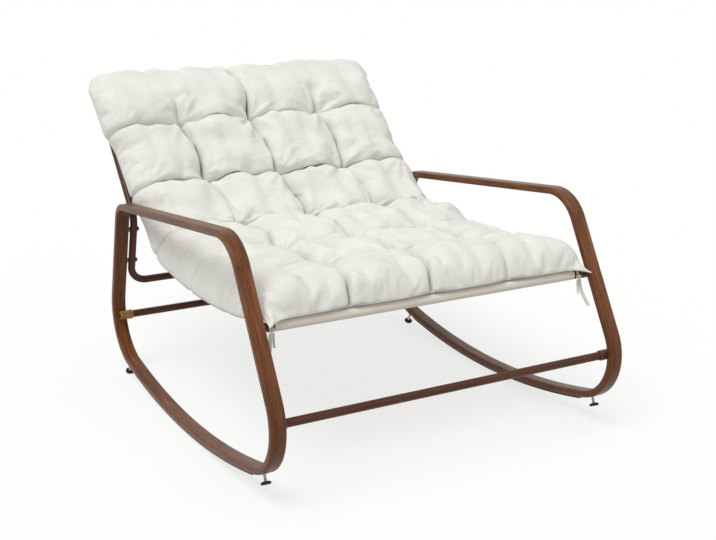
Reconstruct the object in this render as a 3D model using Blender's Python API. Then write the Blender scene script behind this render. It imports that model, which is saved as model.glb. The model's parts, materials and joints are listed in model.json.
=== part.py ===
"""Outdoor rocking chair: two bent-tube rocker frames, a bolted back frame, a sling and a tufted cushion.

Metres, +Z up. The sitter faces -Y, and X runs across the chair. Lengths along Y are measured from the line
where the rockers touch the floor. The origin ends up under the middle of the whole chair, on the floor.
"""

import math

import bpy
from mathutils import Matrix, Vector

# Clearances
SEAT_GAP = 0.0003  # left between pieces that touch
CURVE_RELIEF = 0.0003  # more room where two curved faces meet
THREAD_GAP = 0.0004  # round a screw in its hole

# Side frames, a rounded rectangular tube bent into a closed loop
FRAME_SPACING = 1.000  # between the middle planes of the two loops
TUBE_WIDTH = 0.040  # across the chair
TUBE_DEPTH = 0.020  # in the plane of the loop
TUBE_WALL = 0.0015
TUBE_CORNER = 0.005
ROCKER_RADIUS = 2.083  # to the tube's centre line
FRONT_LEG_FOOT = -0.757  # where the leg's line would reach the bottom of the rocker
FRONT_LEG_LEAN = 30.3
ARM_CORNER_HEIGHT = 0.627  # where the leg's line and the arm's line cross
ARM_FALL = 7.1  # the arm falls towards the rear
REAR_POST_FOOT = 0.564
REAR_POST_LEAN = 15.5
FRONT_TOP_BEND = 0.1155
REAR_TOP_BEND = 0.055
REAR_BOTTOM_BEND = 0.147
FRONT_BOTTOM_BEND = 0.135

# Rubber strips under the rockers
STRIP_WIDTH = 0.030
STRIP_THICKNESS = 0.004
STRIP_END_SPACE = 0.018  # between a strip's end and the end of the rocker's arc
STRIP_FACET = 1.25  # turn between its flat facets

# Threaded glides at the ends of the rockers
FRONT_GLIDE_TILT = 23.5  # from the vertical, about the centre of the front bottom bend
REAR_GLIDE_TILT = 20.0  # from the vertical, about the centre of the rear bottom bend
STEM_RADIUS = 0.004
STEM_TIP = 0.001  # bevel of its upper end
STEM_INSIDE = 0.012  # length of stem inside the tube at rest
FRONT_STEM_EXPOSED = 0.0180  # the rear stems reach down to where their pads stand on the floor
PAD_RADIUS = 0.013
PAD_HEIGHT = 0.007
PAD_RIM = 0.00075  # bevel of the lower edge
PAD_SOCKET = 0.004  # depth of the stem in its pad
INSERT_RADIUS = 0.006
INSERT_LENGTH = 0.009  # inside the tube
INSERT_FLANGE_RADIUS = 0.0085
INSERT_FLANGE = 0.0012

# Round bars and their sockets
BAR_RADIUS = 0.011
BAR_WALL = 0.0015
BAR_END_WALL = 0.008
SOCKET_RADIUS = 0.014
SOCKET_LENGTH = 0.038
SOCKET_END_WALL = 0.003
SOCKET_INSET = 0.032  # from the loop's middle plane to the socket's open end
SOCKET_FOOT = 0.010  # width of the flat that sits on the tube
FRONT_CROSSBAR_HEIGHT = 0.220
REAR_CROSSBAR_HEIGHT = 0.170
SEAT_BAR_HEIGHT = 0.422
BOLT_RADIUS = 0.004
BOLT_HEAD_RADIUS = 0.0068
BOLT_HEAD = 0.0045
BOLT_CROWN = 0.6  # radius of the head's flat top, as a share of the head's radius
BAR_BOLT_REACH = 0.007  # into a bar's end wall

# Back frame, one round tube bent to a U
BACK_TUBE_RADIUS = 0.011
BACK_TUBE_WALL = 0.0015
BACK_SPACING_GAP = 0.006  # between the tube and the rear post
BACK_KNEE_HEIGHT = 0.485  # where the upright leaves the rear post's line
BACK_RECLINE = 40.5
BACK_UPRIGHT = 0.455  # from the knee to the upright's open end
BACK_KNEE_BEND = 0.060
BACK_BASE_HEIGHT = 0.271
BACK_BASE_BEND = 0.050
UPPER_BOLT_DROP = 0.038  # below the knee
LOWER_BOLT_RISE = 0.073  # above the base
SPACER_RADIUS = 0.007
TOP_BAR_DROP = 0.011  # from the upright's end down to the top bar
PLUG_FLANGE = 0.002
PLUG_DEPTH = 0.005
PLUG_CROWN = 0.8  # radius of the plug's flat top, as a share of the tube's radius

# Sling
SLING_THICKNESS = 0.002
SLING_FRONT_SPACE = 0.022  # from the sling's edge to the seat bar's sockets
SLING_TOP_SPACE = 0.010  # from the sling's edge to the uprights
SLING_DIP = 14.0  # slope at the seat bar, falling to the rear
SEAT_ARC_RADIUS = 1.800
SEAT_ARC_TURN = 22.0
SLING_KNEE_RADIUS = 0.160

# Cushion
CUSHION_SEAT_SPACE = 0.012  # on each side of the seat, to the loops
CUSHION_BACK_SPACE = 0.005  # on each side of the back, to the planes of the loops' inner faces
CUSHION_SEAT_CROWN = 0.105  # at the middle of a puff on the seat
CUSHION_BACK_CROWN = 0.083  # at the middle of a puff on the back
CUSHION_BLEND = 0.100  # length above the knee over which the seat's form goes over to the back's
CUSHION_FRONT_EDGE = 0.050
CUSHION_FRONT_ROUNDING = 0.045  # length over which the front edge swells
CUSHION_TOP_EDGE = 0.030  # height over the top bar and behind it
CUSHION_TOP_ROUNDING = 0.085  # length below the top bar over which it thins out
CUSHION_SIDE_LIFT = 0.034  # height of the side seam above the sling
CUSHION_DRAWN_IN = 0.010  # of each side edge at a row of tufts
CUSHION_EAR = 0.006  # how far the front corners stand out
CUSHION_OVERHANG = 0.022  # ahead of the seat bar
CUSHION_WRAP_START = 0.006  # beyond the top bar
CUSHION_WRAP_RADIUS = 0.020
CUSHION_WRAP_TURN = 90.0
CUSHION_TAIL = 0.014  # straight part behind the top bar
TUFT_COLUMNS = 4  # puffs across
TUFT_ROW_SHARES = (0.174, 0.348, 0.531, 0.675, 0.826)  # of the cushion's length, to each row of tufts
TUFT_SEAT_SHIFT = 0.040  # of the tufts off the middle, on the seat
TUFT_BACK_SHIFT = -0.034  # the same at the uppermost row
TUFT_DEPTH = 0.066
CREASE_DEPTH = 0.028
CREASE_SHARPNESS = 14  # a higher power makes the sewn lines narrower
SIDE_ROUNDNESS = 14  # a higher power makes the upper side edges fuller
UNDERSIDE_ROUNDNESS = 24  # the same for the underside

# Ties at the front corners of the cushion
TIE_BAND = 0.008
TIE_THICKNESS = 0.0025
TIE_KNOT_RADIUS = 0.008
TIE_KNOT_STAND = 0.0027  # of its middle off the band
TIE_KNOT_ANGLE = 190.0  # round the bar, from the rear over the top
TIE_CORD_RADIUS = 0.0025
TIE_CORD_SPREAD = 0.0032  # of each tail from the middle of the knot
TIE_LONG_DROP = 0.064
TIE_LONG_SWING = (0.006, -0.036)
TIE_SHORT_DROP = 0.036
TIE_SHORT_SWING = (-0.002, -0.010)

# Fineness of the round shapes
ROUND_SIDES = 12
SMALL_SIDES = 10
SLEEVE_SIDES = 24
OUTER_CORNER_STEPS = 2
INNER_CORNER_STEPS = 1
TOP_BEND_STEPS = 7
REAR_BOTTOM_STEPS = 14
ROCKER_STEPS = 21
FRONT_BOTTOM_STEPS = 16
BACK_BEND_STEPS = 6
KNOT_STEPS = 6
SEARCH_FINENESS = 8  # more steps round the loop, to find where a bar sits
SEARCH_HALVINGS = 60  # to find the sling's turn at the knee
SLING_STEPS = (18, 9, 4)  # along the seat, the knee and the back
CELL_SHARES = (0.0, 0.10, 0.28, 0.5, 0.72, 0.90)  # where a puff has points
UNDERSIDE_SHARES = (-0.95, -0.6, 0.0, 0.6, 0.95)
WRAP_STEPS = 4
SMOOTH_ANGLE = math.radians(40)

# What the sizes above give
SIDES = (("left", -1), ("right", 1))
ACROSS = Vector((1.0, 0.0, 0.0))
HALF_TURN = Matrix.Rotation(math.pi, 4, "X")
PLANE = FRAME_SPACING / 2
BOLT_HOLE = BOLT_RADIUS + THREAD_GAP
ROCKER_BASE = STRIP_THICKNESS + SEAT_GAP
ROCKER_CENTRE = Vector((0.0, ROCKER_BASE + TUBE_DEPTH / 2 + ROCKER_RADIUS))
SOCKET_OFFSET = TUBE_DEPTH / 2 + SEAT_GAP + CURVE_RELIEF + SOCKET_RADIUS
SOCKET_OPEN_END = PLANE - SOCKET_INSET
BAR_LENGTH = 2 * (SOCKET_OPEN_END + SOCKET_LENGTH - SOCKET_END_WALL - SEAT_GAP)
BACK_BOLT_HEIGHTS = (BACK_KNEE_HEIGHT - UPPER_BOLT_DROP, BACK_BASE_HEIGHT + LOWER_BOLT_RISE)
BACK_PLANE = PLANE - TUBE_WIDTH / 2 - BACK_SPACING_GAP - BACK_TUBE_RADIUS
TOP_BAR_LENGTH = 2 * (BACK_PLANE - BACK_TUBE_RADIUS - SEAT_GAP)
SLEEVE_MIDDLE = BAR_RADIUS + SEAT_GAP + SLING_THICKNESS / 2
SLING_FRONT_WIDTH = 2 * (SOCKET_OPEN_END - SLING_FRONT_SPACE)
SLING_TOP_WIDTH = 2 * (BACK_PLANE - BACK_TUBE_RADIUS - SLING_TOP_SPACE)
LOOP_ROOM = FRAME_SPACING - TUBE_WIDTH  # between the loops' inner faces
CUSHION_SEAT_WIDTH = LOOP_ROOM - 2 * CUSHION_SEAT_SPACE
CUSHION_BACK_WIDTH = LOOP_ROOM - 2 * CUSHION_BACK_SPACE
TIE_INSET = SOCKET_INSET + SLING_FRONT_SPACE / 2  # from the loop's plane to the middle of the bare bar


def direction(degrees):
    """Unit vector in the side plane (y, z), at an angle above the +Y direction."""
    angle = math.radians(degrees)
    return Vector((math.cos(angle), math.sin(angle)))


def left_of(vector):
    """The side-plane vector turned a quarter turn from +Y towards +Z."""
    return Vector((-vector.y, vector.x))


def in_plane(x, point):
    """A side-plane point (y, z) set at x."""
    return Vector((x, point.x, point.y))


# Materials


def material(name, colour, roughness, metallic=0.0):
    made = bpy.data.materials.new(name)
    made.use_nodes = True
    shader = made.node_tree.nodes["Principled BSDF"]
    shader.inputs["Base Color"].default_value = (*colour, 1.0)
    shader.inputs["Roughness"].default_value = roughness
    shader.inputs["Metallic"].default_value = metallic
    made.diffuse_color = (*colour, 1.0)
    return made


def make_materials():
    return {
        "wood_paint": material("wood_paint", (0.150, 0.055, 0.030), 0.42),
        "socket_paint": material("socket_paint", (0.190, 0.090, 0.035), 0.38),
        "black_steel": material("black_steel", (0.020, 0.019, 0.018), 0.45, 0.6),
        "zinc_steel": material("zinc_steel", (0.560, 0.570, 0.580), 0.32, 1.0),
        "rubber": material("rubber", (0.012, 0.012, 0.012), 0.75),
        "black_plastic": material("black_plastic", (0.018, 0.018, 0.018), 0.55),
        "sling_fabric": material("sling_fabric", (0.560, 0.530, 0.470), 0.90),
        "cushion_fabric": material("cushion_fabric", (0.810, 0.790, 0.730), 0.88),
        "tie_fabric": material("tie_fabric", (0.740, 0.710, 0.640), 0.90),
    }


# Meshes


def signed_volume(points, faces):
    total = 0.0
    for face in faces:
        for second, third in zip(face[1:-1], face[2:]):
            total += points[face[0]].dot(points[second].cross(points[third]))
    return total / 6


def facing(points, faces, outward=True):
    """A closed surface with its faces turned out, or inward round a cavity."""
    if (signed_volume(points, faces) > 0) != outward:
        faces = [tuple(reversed(face)) for face in faces]
    return points, faces


def joined(*surfaces):
    points = []
    faces = []
    for more_points, more_faces in surfaces:
        start = len(points)
        points += more_points
        faces += [tuple(start + index for index in face) for face in more_faces]
    return points, faces


def make_mesh(name, surface):
    points, faces = surface
    mesh = bpy.data.meshes.new(name)
    mesh.from_pydata([tuple(point) for point in points], [], faces)
    mesh.shade_smooth()
    mesh.set_sharp_from_angle(angle=SMOOTH_ANGLE)
    return mesh


def add_object(name, mesh, parent, finish, matrix=None):
    made = bpy.data.objects.new(name, mesh)
    bpy.context.collection.objects.link(made)
    if not mesh.materials:
        mesh.materials.append(finish)
    made.parent = parent
    if matrix is not None:
        made.matrix_local = matrix
    return made


def add_empty(name, parent, matrix=None):
    made = bpy.data.objects.new(name, None)
    bpy.context.collection.objects.link(made)
    made.parent = parent
    if matrix is not None:
        made.matrix_local = matrix
    return made


def combined(mesh, cutter_surface, operation):
    """The mesh less the closed bodies of another surface, or joined with them."""
    body = bpy.data.objects.new("body", mesh)
    cutter = bpy.data.objects.new("cutter", make_mesh("cutter", cutter_surface))
    for each in (body, cutter):
        bpy.context.collection.objects.link(each)
    boolean = body.modifiers.new("cut", "BOOLEAN")
    boolean.operation = operation
    boolean.solver = "EXACT"
    boolean.object = cutter
    bpy.context.view_layer.update()
    whole = body.evaluated_get(bpy.context.evaluated_depsgraph_get())
    result = bpy.data.meshes.new_from_object(whole)
    result.set_sharp_from_angle(angle=SMOOTH_ANGLE)
    name = mesh.name
    for each in (body, cutter):
        used = each.data
        bpy.data.objects.remove(each)
        bpy.data.meshes.remove(used)
    result.name = name
    return result


def lathe(profile, sides):
    """A solid turned about Z from (radius, height) points: closed on the axis, or a ring if none is on it."""
    points = []
    rings = []
    for radius, height in profile:
        if radius == 0.0:
            rings.append([len(points)] * sides)
            points.append(Vector((0.0, 0.0, height)))
            continue
        rings.append(list(range(len(points), len(points) + sides)))
        for side in range(sides):
            angle = 2 * math.pi * side / sides
            points.append(Vector((radius * math.cos(angle), radius * math.sin(angle), height)))
    pairs = list(zip(rings, rings[1:]))
    if profile[0][0] > 0.0:
        pairs.append((rings[-1], rings[0]))
    faces = []
    for lower, upper in pairs:
        for side in range(sides):
            after = (side + 1) % sides
            corners = (lower[side], lower[after], upper[after], upper[side])
            face = tuple(dict.fromkeys(corners))
            if len(face) > 2:
                faces.append(face)
    return facing(points, faces)


def moved(surface, matrix):
    points, faces = surface
    return facing([matrix @ point for point in points], faces)


def sweep(stations, profile, closed):
    """Rings of one profile along stations of (origin, first axis, second axis), as points and side faces."""
    count = len(profile)
    points = [origin + first * a + second * b for origin, first, second in stations for a, b in profile]
    last = len(stations) if closed else len(stations) - 1
    faces = []
    for station in range(last):
        here = station * count
        there = (station + 1) % len(stations) * count
        for corner in range(count):
            after = (corner + 1) % count
            faces.append((here + corner, here + after, there + after, there + corner))
    return points, faces


def capped(points, faces, count):
    """A swept surface closed by its first and last ring."""
    first = tuple(range(count))[::-1]
    last = tuple(range(len(points) - count, len(points)))
    return facing(points, faces + [first, last])


def circle_profile(radius, sides):
    angles = [2 * math.pi * side / sides for side in range(sides)]
    return [(radius * math.cos(angle), radius * math.sin(angle)) for angle in angles]


def rod(radius, start, end, sides=SMALL_SIDES):
    """A round cutter from start to end."""
    axis = end - start
    turn = axis.to_track_quat("Z", "Y").to_matrix().to_4x4()
    profile = [(0.0, 0.0), (radius, 0.0), (radius, axis.length), (0.0, axis.length)]
    return moved(lathe(profile, sides), Matrix.Translation(start) @ turn)


def pointing(place, axis):
    """A frame at place whose Z runs along axis."""
    return Matrix.Translation(place) @ axis.to_track_quat("Z", "Y").to_matrix().to_4x4()


# Side loop


def bend_between(corner, inward, onward, radius):
    """Centre of the round bend between two lines that cross at a corner."""
    back = -inward
    half = back.angle(onward) / 2
    return corner + (back + onward).normalized() * radius / math.sin(half)


def bend_on_rocker(foot, line, radius):
    """Centre of the bend that joins a straight leg to the rocker's arc from inside."""
    side = left_of(line)
    if side.dot(Vector((0.0, ROCKER_CENTRE.y / 2)) - foot) < 0:
        side = -side
    start = foot + side * radius
    offset = start - ROCKER_CENTRE
    along = offset.dot(line)
    reach = math.sqrt(along**2 - offset.length_squared + (ROCKER_RADIUS - radius) ** 2)
    ends = [start + line * (-along + sign * reach) for sign in (-1, 1)]
    return min(ends, key=lambda end: end.y)


def outward_angle(vector):
    return math.degrees(math.atan2(vector.y, vector.x))


def side_loop():
    """The loop's five bends in order: centre, radius, first and last outward angle, number of steps."""
    leg = direction(90 - FRONT_LEG_LEAN)
    arm = direction(-ARM_FALL)
    post = direction(REAR_POST_LEAN - 90)
    front_foot = Vector((FRONT_LEG_FOOT, ROCKER_BASE))
    rear_foot = Vector((REAR_POST_FOOT, ROCKER_BASE))
    front_corner = front_foot + leg * (ARM_CORNER_HEIGHT - ROCKER_BASE) / leg.y
    run = (rear_foot - front_corner).dot(left_of(post)) / arm.dot(left_of(post))
    rear_corner = front_corner + arm * run
    front_top = bend_between(front_corner, leg, arm, FRONT_TOP_BEND)
    rear_top = bend_between(rear_corner, arm, post, REAR_TOP_BEND)
    rear_bottom = bend_on_rocker(rear_foot, post, REAR_BOTTOM_BEND)
    front_bottom = bend_on_rocker(front_foot, leg, FRONT_BOTTOM_BEND)
    leg_out = 180 - FRONT_LEG_LEAN
    arm_out = 90 - ARM_FALL
    post_out = REAR_POST_LEAN
    rear_out = outward_angle(rear_bottom - ROCKER_CENTRE)
    front_out = outward_angle(front_bottom - ROCKER_CENTRE)
    return [
        (front_top, FRONT_TOP_BEND, leg_out, arm_out, TOP_BEND_STEPS),
        (rear_top, REAR_TOP_BEND, arm_out, post_out, TOP_BEND_STEPS),
        (rear_bottom, REAR_BOTTOM_BEND, post_out, rear_out, REAR_BOTTOM_STEPS),
        (ROCKER_CENTRE, ROCKER_RADIUS, rear_out, front_out, ROCKER_STEPS),
        (front_bottom, FRONT_BOTTOM_BEND, front_out, leg_out - 360, FRONT_BOTTOM_STEPS),
    ]


def loop_stations(steps_times=1):
    """(point on the centre line, outward normal) round the loop."""
    stations = []
    for centre, radius, first, last, steps in side_loop():
        for step in range(steps * steps_times + 1):
            normal = direction(first + (last - first) * step / (steps * steps_times))
            stations.append((centre + normal * radius, normal))
    kept = [stations[0]]
    for point, normal in stations[1:]:
        if (point - kept[-1][0]).length > SEAT_GAP:
            kept.append((point, normal))
    return kept


def seat_at_height(height, offset, front):
    """Where a line inside the loop reaches a height, on its front or rear side, and the normal there."""
    inner = [(point - normal * offset, normal) for point, normal in loop_stations(SEARCH_FINENESS)]
    inner.append(inner[0])
    for (point, normal), (after, next_normal) in zip(inner, inner[1:]):
        if (point.x < 0) != front or (point.y - height) * (after.y - height) > 0 or point.y == after.y:
            continue
        share = (height - point.y) / (after.y - point.y)
        return point.lerp(after, share), normal.lerp(next_normal, share).normalized()
    raise ValueError(f"the loop has no inner face at height {height}")


def rounded_rectangle(width, depth, corner, steps):
    profile = []
    for quarter, (right, up) in enumerate(((1, 1), (-1, 1), (-1, -1), (1, -1))):
        middle = Vector((right * (width / 2 - corner), up * (depth / 2 - corner)))
        for step in range(steps + 1):
            profile.append(tuple(middle + direction(90 * (quarter + step / steps)) * corner))
    return profile


def rear_post_at(height):
    post = direction(REAR_POST_LEAN - 90)
    return Vector((REAR_POST_FOOT, ROCKER_BASE)) + post * (ROCKER_BASE - height) / -post.y


def make_side_frame_mesh(name, side, glides):
    """A hollow loop on the plane x = 0, with holes for its glides and, inside, for the back bolts."""
    stations = []
    for point, normal in loop_stations():
        stations.append((in_plane(0.0, point), ACROSS, in_plane(0.0, normal)))
    outer = rounded_rectangle(TUBE_WIDTH, TUBE_DEPTH, TUBE_CORNER, OUTER_CORNER_STEPS)
    bore_width = TUBE_WIDTH - 2 * TUBE_WALL
    bore_depth = TUBE_DEPTH - 2 * TUBE_WALL
    inner = rounded_rectangle(bore_width, bore_depth, TUBE_CORNER - TUBE_WALL, INNER_CORNER_STEPS)
    skin = facing(*sweep(stations, outer, True))
    bore = facing(*sweep(stations, inner, True), outward=False)
    mesh = make_mesh(name, joined(skin, bore))
    ends = []
    for place, axis, _ in glides:
        ends.append((in_plane(0.0, place), in_plane(0.0, place + axis * TUBE_DEPTH)))
    outside = -side * (TUBE_WIDTH / 2 + TUBE_WALL)
    for height in BACK_BOLT_HEIGHTS:
        spot = rear_post_at(height)
        ends.append((in_plane(outside, spot), in_plane(0.0, spot)))
    holes = [rod(INSERT_RADIUS + SEAT_GAP, *pair) for pair in ends]
    return combined(mesh, joined(*holes), "DIFFERENCE")


def make_side_frames(root, finish, glides):
    for hand, side in SIDES:
        name = f"{hand}_side_frame"
        mesh = make_side_frame_mesh(name, side, glides)
        add_object(name, mesh, root, finish, Matrix.Translation((side * PLANE, 0.0, 0.0)))


# Strips and glides under the rockers


def glide_places():
    """For the front and rear glide: its point on the tube's centre line, downward axis and exposed length."""
    bends = side_loop()
    front_axis = direction(-FRONT_GLIDE_TILT - 90)
    rear_axis = direction(REAR_GLIDE_TILT - 90)
    front = bends[4][0] + front_axis * bends[4][1]
    rear = bends[2][0] + rear_axis * bends[2][1]
    edge = (PAD_RADIUS - PAD_RIM) * math.sin(math.radians(REAR_GLIDE_TILT))
    rear_reach = (rear.y - edge) / -rear_axis.y
    rear_exposed = rear_reach - TUBE_DEPTH / 2 - SEAT_GAP - PAD_HEIGHT
    return [(front, front_axis, FRONT_STEM_EXPOSED), (rear, rear_axis, rear_exposed)]


def make_strips(root, finish):
    """A rubber strip along the underside of each rocker, with a flat facet on the floor."""
    _, _, rear_out, front_out, _ = side_loop()[3]
    space = math.degrees(STRIP_END_SPACE / ROCKER_RADIUS)
    rear_end = rear_out - space
    front_end = front_out + space
    top = ROCKER_RADIUS + TUBE_DEPTH / 2 + SEAT_GAP
    flat = (top + STRIP_THICKNESS) / math.cos(math.radians(STRIP_FACET / 2))
    count = math.ceil((rear_end - front_end) / STRIP_FACET)
    angles = [-90 + STRIP_FACET * (step + 0.5) for step in range(count, -count - 1, -1)]
    margin = STRIP_FACET / 4
    inside = [angle for angle in angles if front_end + margin < angle < rear_end - margin]
    stations = []
    for angle in [rear_end, *inside, front_end]:
        normal = direction(angle)
        stations.append((in_plane(0.0, ROCKER_CENTRE + normal * top), ACROSS, in_plane(0.0, normal)))
    half = STRIP_WIDTH / 2
    profile = [(-half, 0.0), (-half, flat - top), (half, flat - top), (half, 0.0)]
    mesh = make_mesh("rocker_strip", capped(*sweep(stations, profile, False), len(profile)))
    for name, side in SIDES:
        add_object(f"{name}_rocker_strip", mesh, root, finish, Matrix.Translation((side * PLANE, 0.0, 0.0)))


def insert_surface(bore):
    """A threaded insert along +Z, its flange's outer face on z = 0."""
    inner_end = INSERT_FLANGE + INSERT_LENGTH
    profile = [
        (bore, 0.0),
        (INSERT_FLANGE_RADIUS, 0.0),
        (INSERT_FLANGE_RADIUS, INSERT_FLANGE),
        (INSERT_RADIUS, INSERT_FLANGE),
        (INSERT_RADIUS, inner_end),
        (bore, inner_end),
    ]
    return lathe(profile, SMALL_SIDES)


def make_glides(root, finishes, glides):
    """Insert, threaded stem and pad for each glide. The stem and pad hang on an empty on the screw's axis."""
    under = TUBE_DEPTH / 2 + SEAT_GAP
    flange_face = Matrix.Translation((0.0, 0.0, under + INSERT_FLANGE))
    threaded = insert_surface(STEM_RADIUS + THREAD_GAP)
    insert = make_mesh("glide_insert", moved(threaded, flange_face @ HALF_TURN))
    for end, (place, axis, exposed) in zip(("front", "rear"), glides):
        pad_top = under + exposed
        stem_top = under - STEM_INSIDE
        stem_profile = [
            (0.0, stem_top),
            (STEM_RADIUS - STEM_TIP, stem_top),
            (STEM_RADIUS, stem_top + STEM_TIP),
            (STEM_RADIUS, pad_top + PAD_SOCKET - SEAT_GAP),
            (0.0, pad_top + PAD_SOCKET - SEAT_GAP),
        ]
        pad_profile = [
            (0.0, pad_top + PAD_SOCKET),
            (STEM_RADIUS + SEAT_GAP, pad_top + PAD_SOCKET),
            (STEM_RADIUS + SEAT_GAP, pad_top),
            (PAD_RADIUS - 2 * PAD_RIM, pad_top),
            (PAD_RADIUS, pad_top + 2 * PAD_RIM),
            (PAD_RADIUS, pad_top + PAD_HEIGHT - PAD_RIM),
            (PAD_RADIUS - PAD_RIM, pad_top + PAD_HEIGHT),
            (0.0, pad_top + PAD_HEIGHT),
        ]
        stem = make_mesh(f"{end}_glide_stem", lathe(stem_profile, SMALL_SIDES))
        pad = make_mesh(f"{end}_glide_pad", lathe(pad_profile, ROUND_SIDES))
        for name, side in SIDES:
            frame = pointing(in_plane(side * PLANE, place), in_plane(0.0, axis))
            add_object(f"{end}_{name}_glide_insert", insert, root, finishes["zinc_steel"], frame)
            screw = add_empty(f"{end}_{name}_glide_axis", root, frame)
            add_object(f"{end}_{name}_glide_stem", stem, screw, finishes["zinc_steel"])
            add_object(f"{end}_{name}_glide_pad", pad, screw, finishes["rubber"])


# Bars, sockets and their bolts


def bar_profile(length):
    bore = BAR_RADIUS - BAR_WALL
    half = length / 2
    inside = half - BAR_END_WALL
    return [
        (BOLT_HOLE, -half),
        (BAR_RADIUS, -half),
        (BAR_RADIUS, half),
        (BOLT_HOLE, half),
        (BOLT_HOLE, inside),
        (bore, inside),
        (bore, -inside),
        (BOLT_HOLE, -inside),
    ]


def bolt_surface(length):
    """A low-domed bolt along +Z, its head standing on z = 0 below the shank."""
    dome = BOLT_HEAD / 2
    profile = [
        (0.0, -BOLT_HEAD),
        (BOLT_HEAD_RADIUS * BOLT_CROWN, -BOLT_HEAD),
        (BOLT_HEAD_RADIUS, -dome),
        (BOLT_HEAD_RADIUS, 0.0),
        (BOLT_RADIUS, 0.0),
        (BOLT_RADIUS, length),
        (0.0, length),
    ]
    return lathe(profile, SMALL_SIDES)


def make_socket_mesh():
    """A short sleeve along +Z with a flat foot on its -Y side, open at z = 0 and walled at its other end."""
    half_foot = SOCKET_FOOT / 2
    start = math.degrees(math.asin(half_foot / SOCKET_RADIUS))
    profile = []
    for step in range(ROUND_SIDES + 1):
        angle = math.radians(-90 + start + (360 - 2 * start) * step / ROUND_SIDES)
        profile.append((SOCKET_RADIUS * math.cos(angle), SOCKET_RADIUS * math.sin(angle)))
    profile.append((-half_foot, -SOCKET_RADIUS))
    profile.append((half_foot, -SOCKET_RADIUS))
    axes = (ACROSS, Vector((0.0, 1.0, 0.0)))
    stations = [(Vector((0.0, 0.0, height)), *axes) for height in (0.0, SOCKET_LENGTH)]
    mesh = make_mesh("bar_socket", capped(*sweep(stations, profile, False), len(profile)))
    bore = BAR_RADIUS + SEAT_GAP
    floor = SOCKET_LENGTH - SOCKET_END_WALL
    beyond = SOCKET_END_WALL
    cutter_profile = [
        (0.0, -beyond),
        (bore, -beyond),
        (bore, floor),
        (BOLT_HOLE, floor),
        (BOLT_HOLE, SOCKET_LENGTH + beyond),
        (0.0, SOCKET_LENGTH + beyond),
    ]
    return combined(mesh, lathe(cutter_profile, ROUND_SIDES), "DIFFERENCE")


def bar_seats():
    """Axis and outward normal of each round bar between the loops."""
    return {
        "seat_bar": seat_at_height(SEAT_BAR_HEIGHT, SOCKET_OFFSET, True),
        "front_crossbar": seat_at_height(FRONT_CROSSBAR_HEIGHT, SOCKET_OFFSET, True),
        "rear_crossbar": seat_at_height(REAR_CROSSBAR_HEIGHT, SOCKET_OFFSET, False),
    }


def across_frame(place, normal, side, x):
    """A frame at x whose Z runs outwards along X and whose -Y runs along a normal of the loop."""
    out = Vector((side, 0.0, 0.0))
    down = in_plane(0.0, -normal)
    frame = Matrix((down.cross(out), down, out)).transposed().to_4x4()
    return Matrix.Translation(in_plane(side * x, place)) @ frame


def make_bars(root, finishes):
    bar = make_mesh("cross_tube", lathe(bar_profile(BAR_LENGTH), ROUND_SIDES))
    socket = make_socket_mesh()
    reach = SOCKET_END_WALL + SEAT_GAP + BAR_BOLT_REACH
    bolt = make_mesh("socket_bolt", bolt_surface(reach))
    for name, (place, normal) in bar_seats().items():
        frame = across_frame(place, normal, 1, 0.0)
        add_object(name, bar, root, finishes["wood_paint"], frame)
        for hand, side in SIDES:
            seat = across_frame(place, normal, side, SOCKET_OPEN_END)
            add_object(f"{name}_{hand}_socket", socket, root, finishes["socket_paint"], seat)
            head = across_frame(place, normal, side, SOCKET_OPEN_END + SOCKET_LENGTH + SEAT_GAP)
            add_object(f"{name}_{hand}_bolt", bolt, root, finishes["black_steel"], head @ HALF_TURN)


# Back frame


def back_knee():
    return rear_post_at(BACK_KNEE_HEIGHT)


def back_top():
    return back_knee() + direction(90 - BACK_RECLINE) * BACK_UPRIGHT


def top_bar_axis():
    return back_top() - direction(90 - BACK_RECLINE) * TOP_BAR_DROP


def filleted(corners, steps):
    """Stations along corners of (point, bend radius): points with unit tangents, round at each bend."""
    stations = []
    for index, (point, radius) in enumerate(corners):
        if radius == 0.0:
            near = corners[index - 1][0] if index else corners[1][0]
            tangent = (point - near if index else near - point).normalized()
            stations.append((point, tangent))
            continue
        back = (corners[index - 1][0] - point).normalized()
        onward = (corners[index + 1][0] - point).normalized()
        half = back.angle(onward) / 2
        centre = point + (back + onward).normalized() * radius / math.sin(half)
        start = point + back * radius / math.tan(half)
        pole = (-back).cross(onward).normalized()
        turn = math.pi - 2 * half
        for step in range(steps + 1):
            spin = Matrix.Rotation(turn * step / steps, 3, pole)
            stations.append((centre + spin @ (start - centre), spin @ -back))
    return stations


def ring_frames(stations, first):
    """Frames carried along stations without twist."""
    frames = []
    across = first
    for point, tangent in stations:
        across = (across - tangent * across.dot(tangent)).normalized()
        frames.append((point, across, tangent.cross(across)))
    return frames


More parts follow.
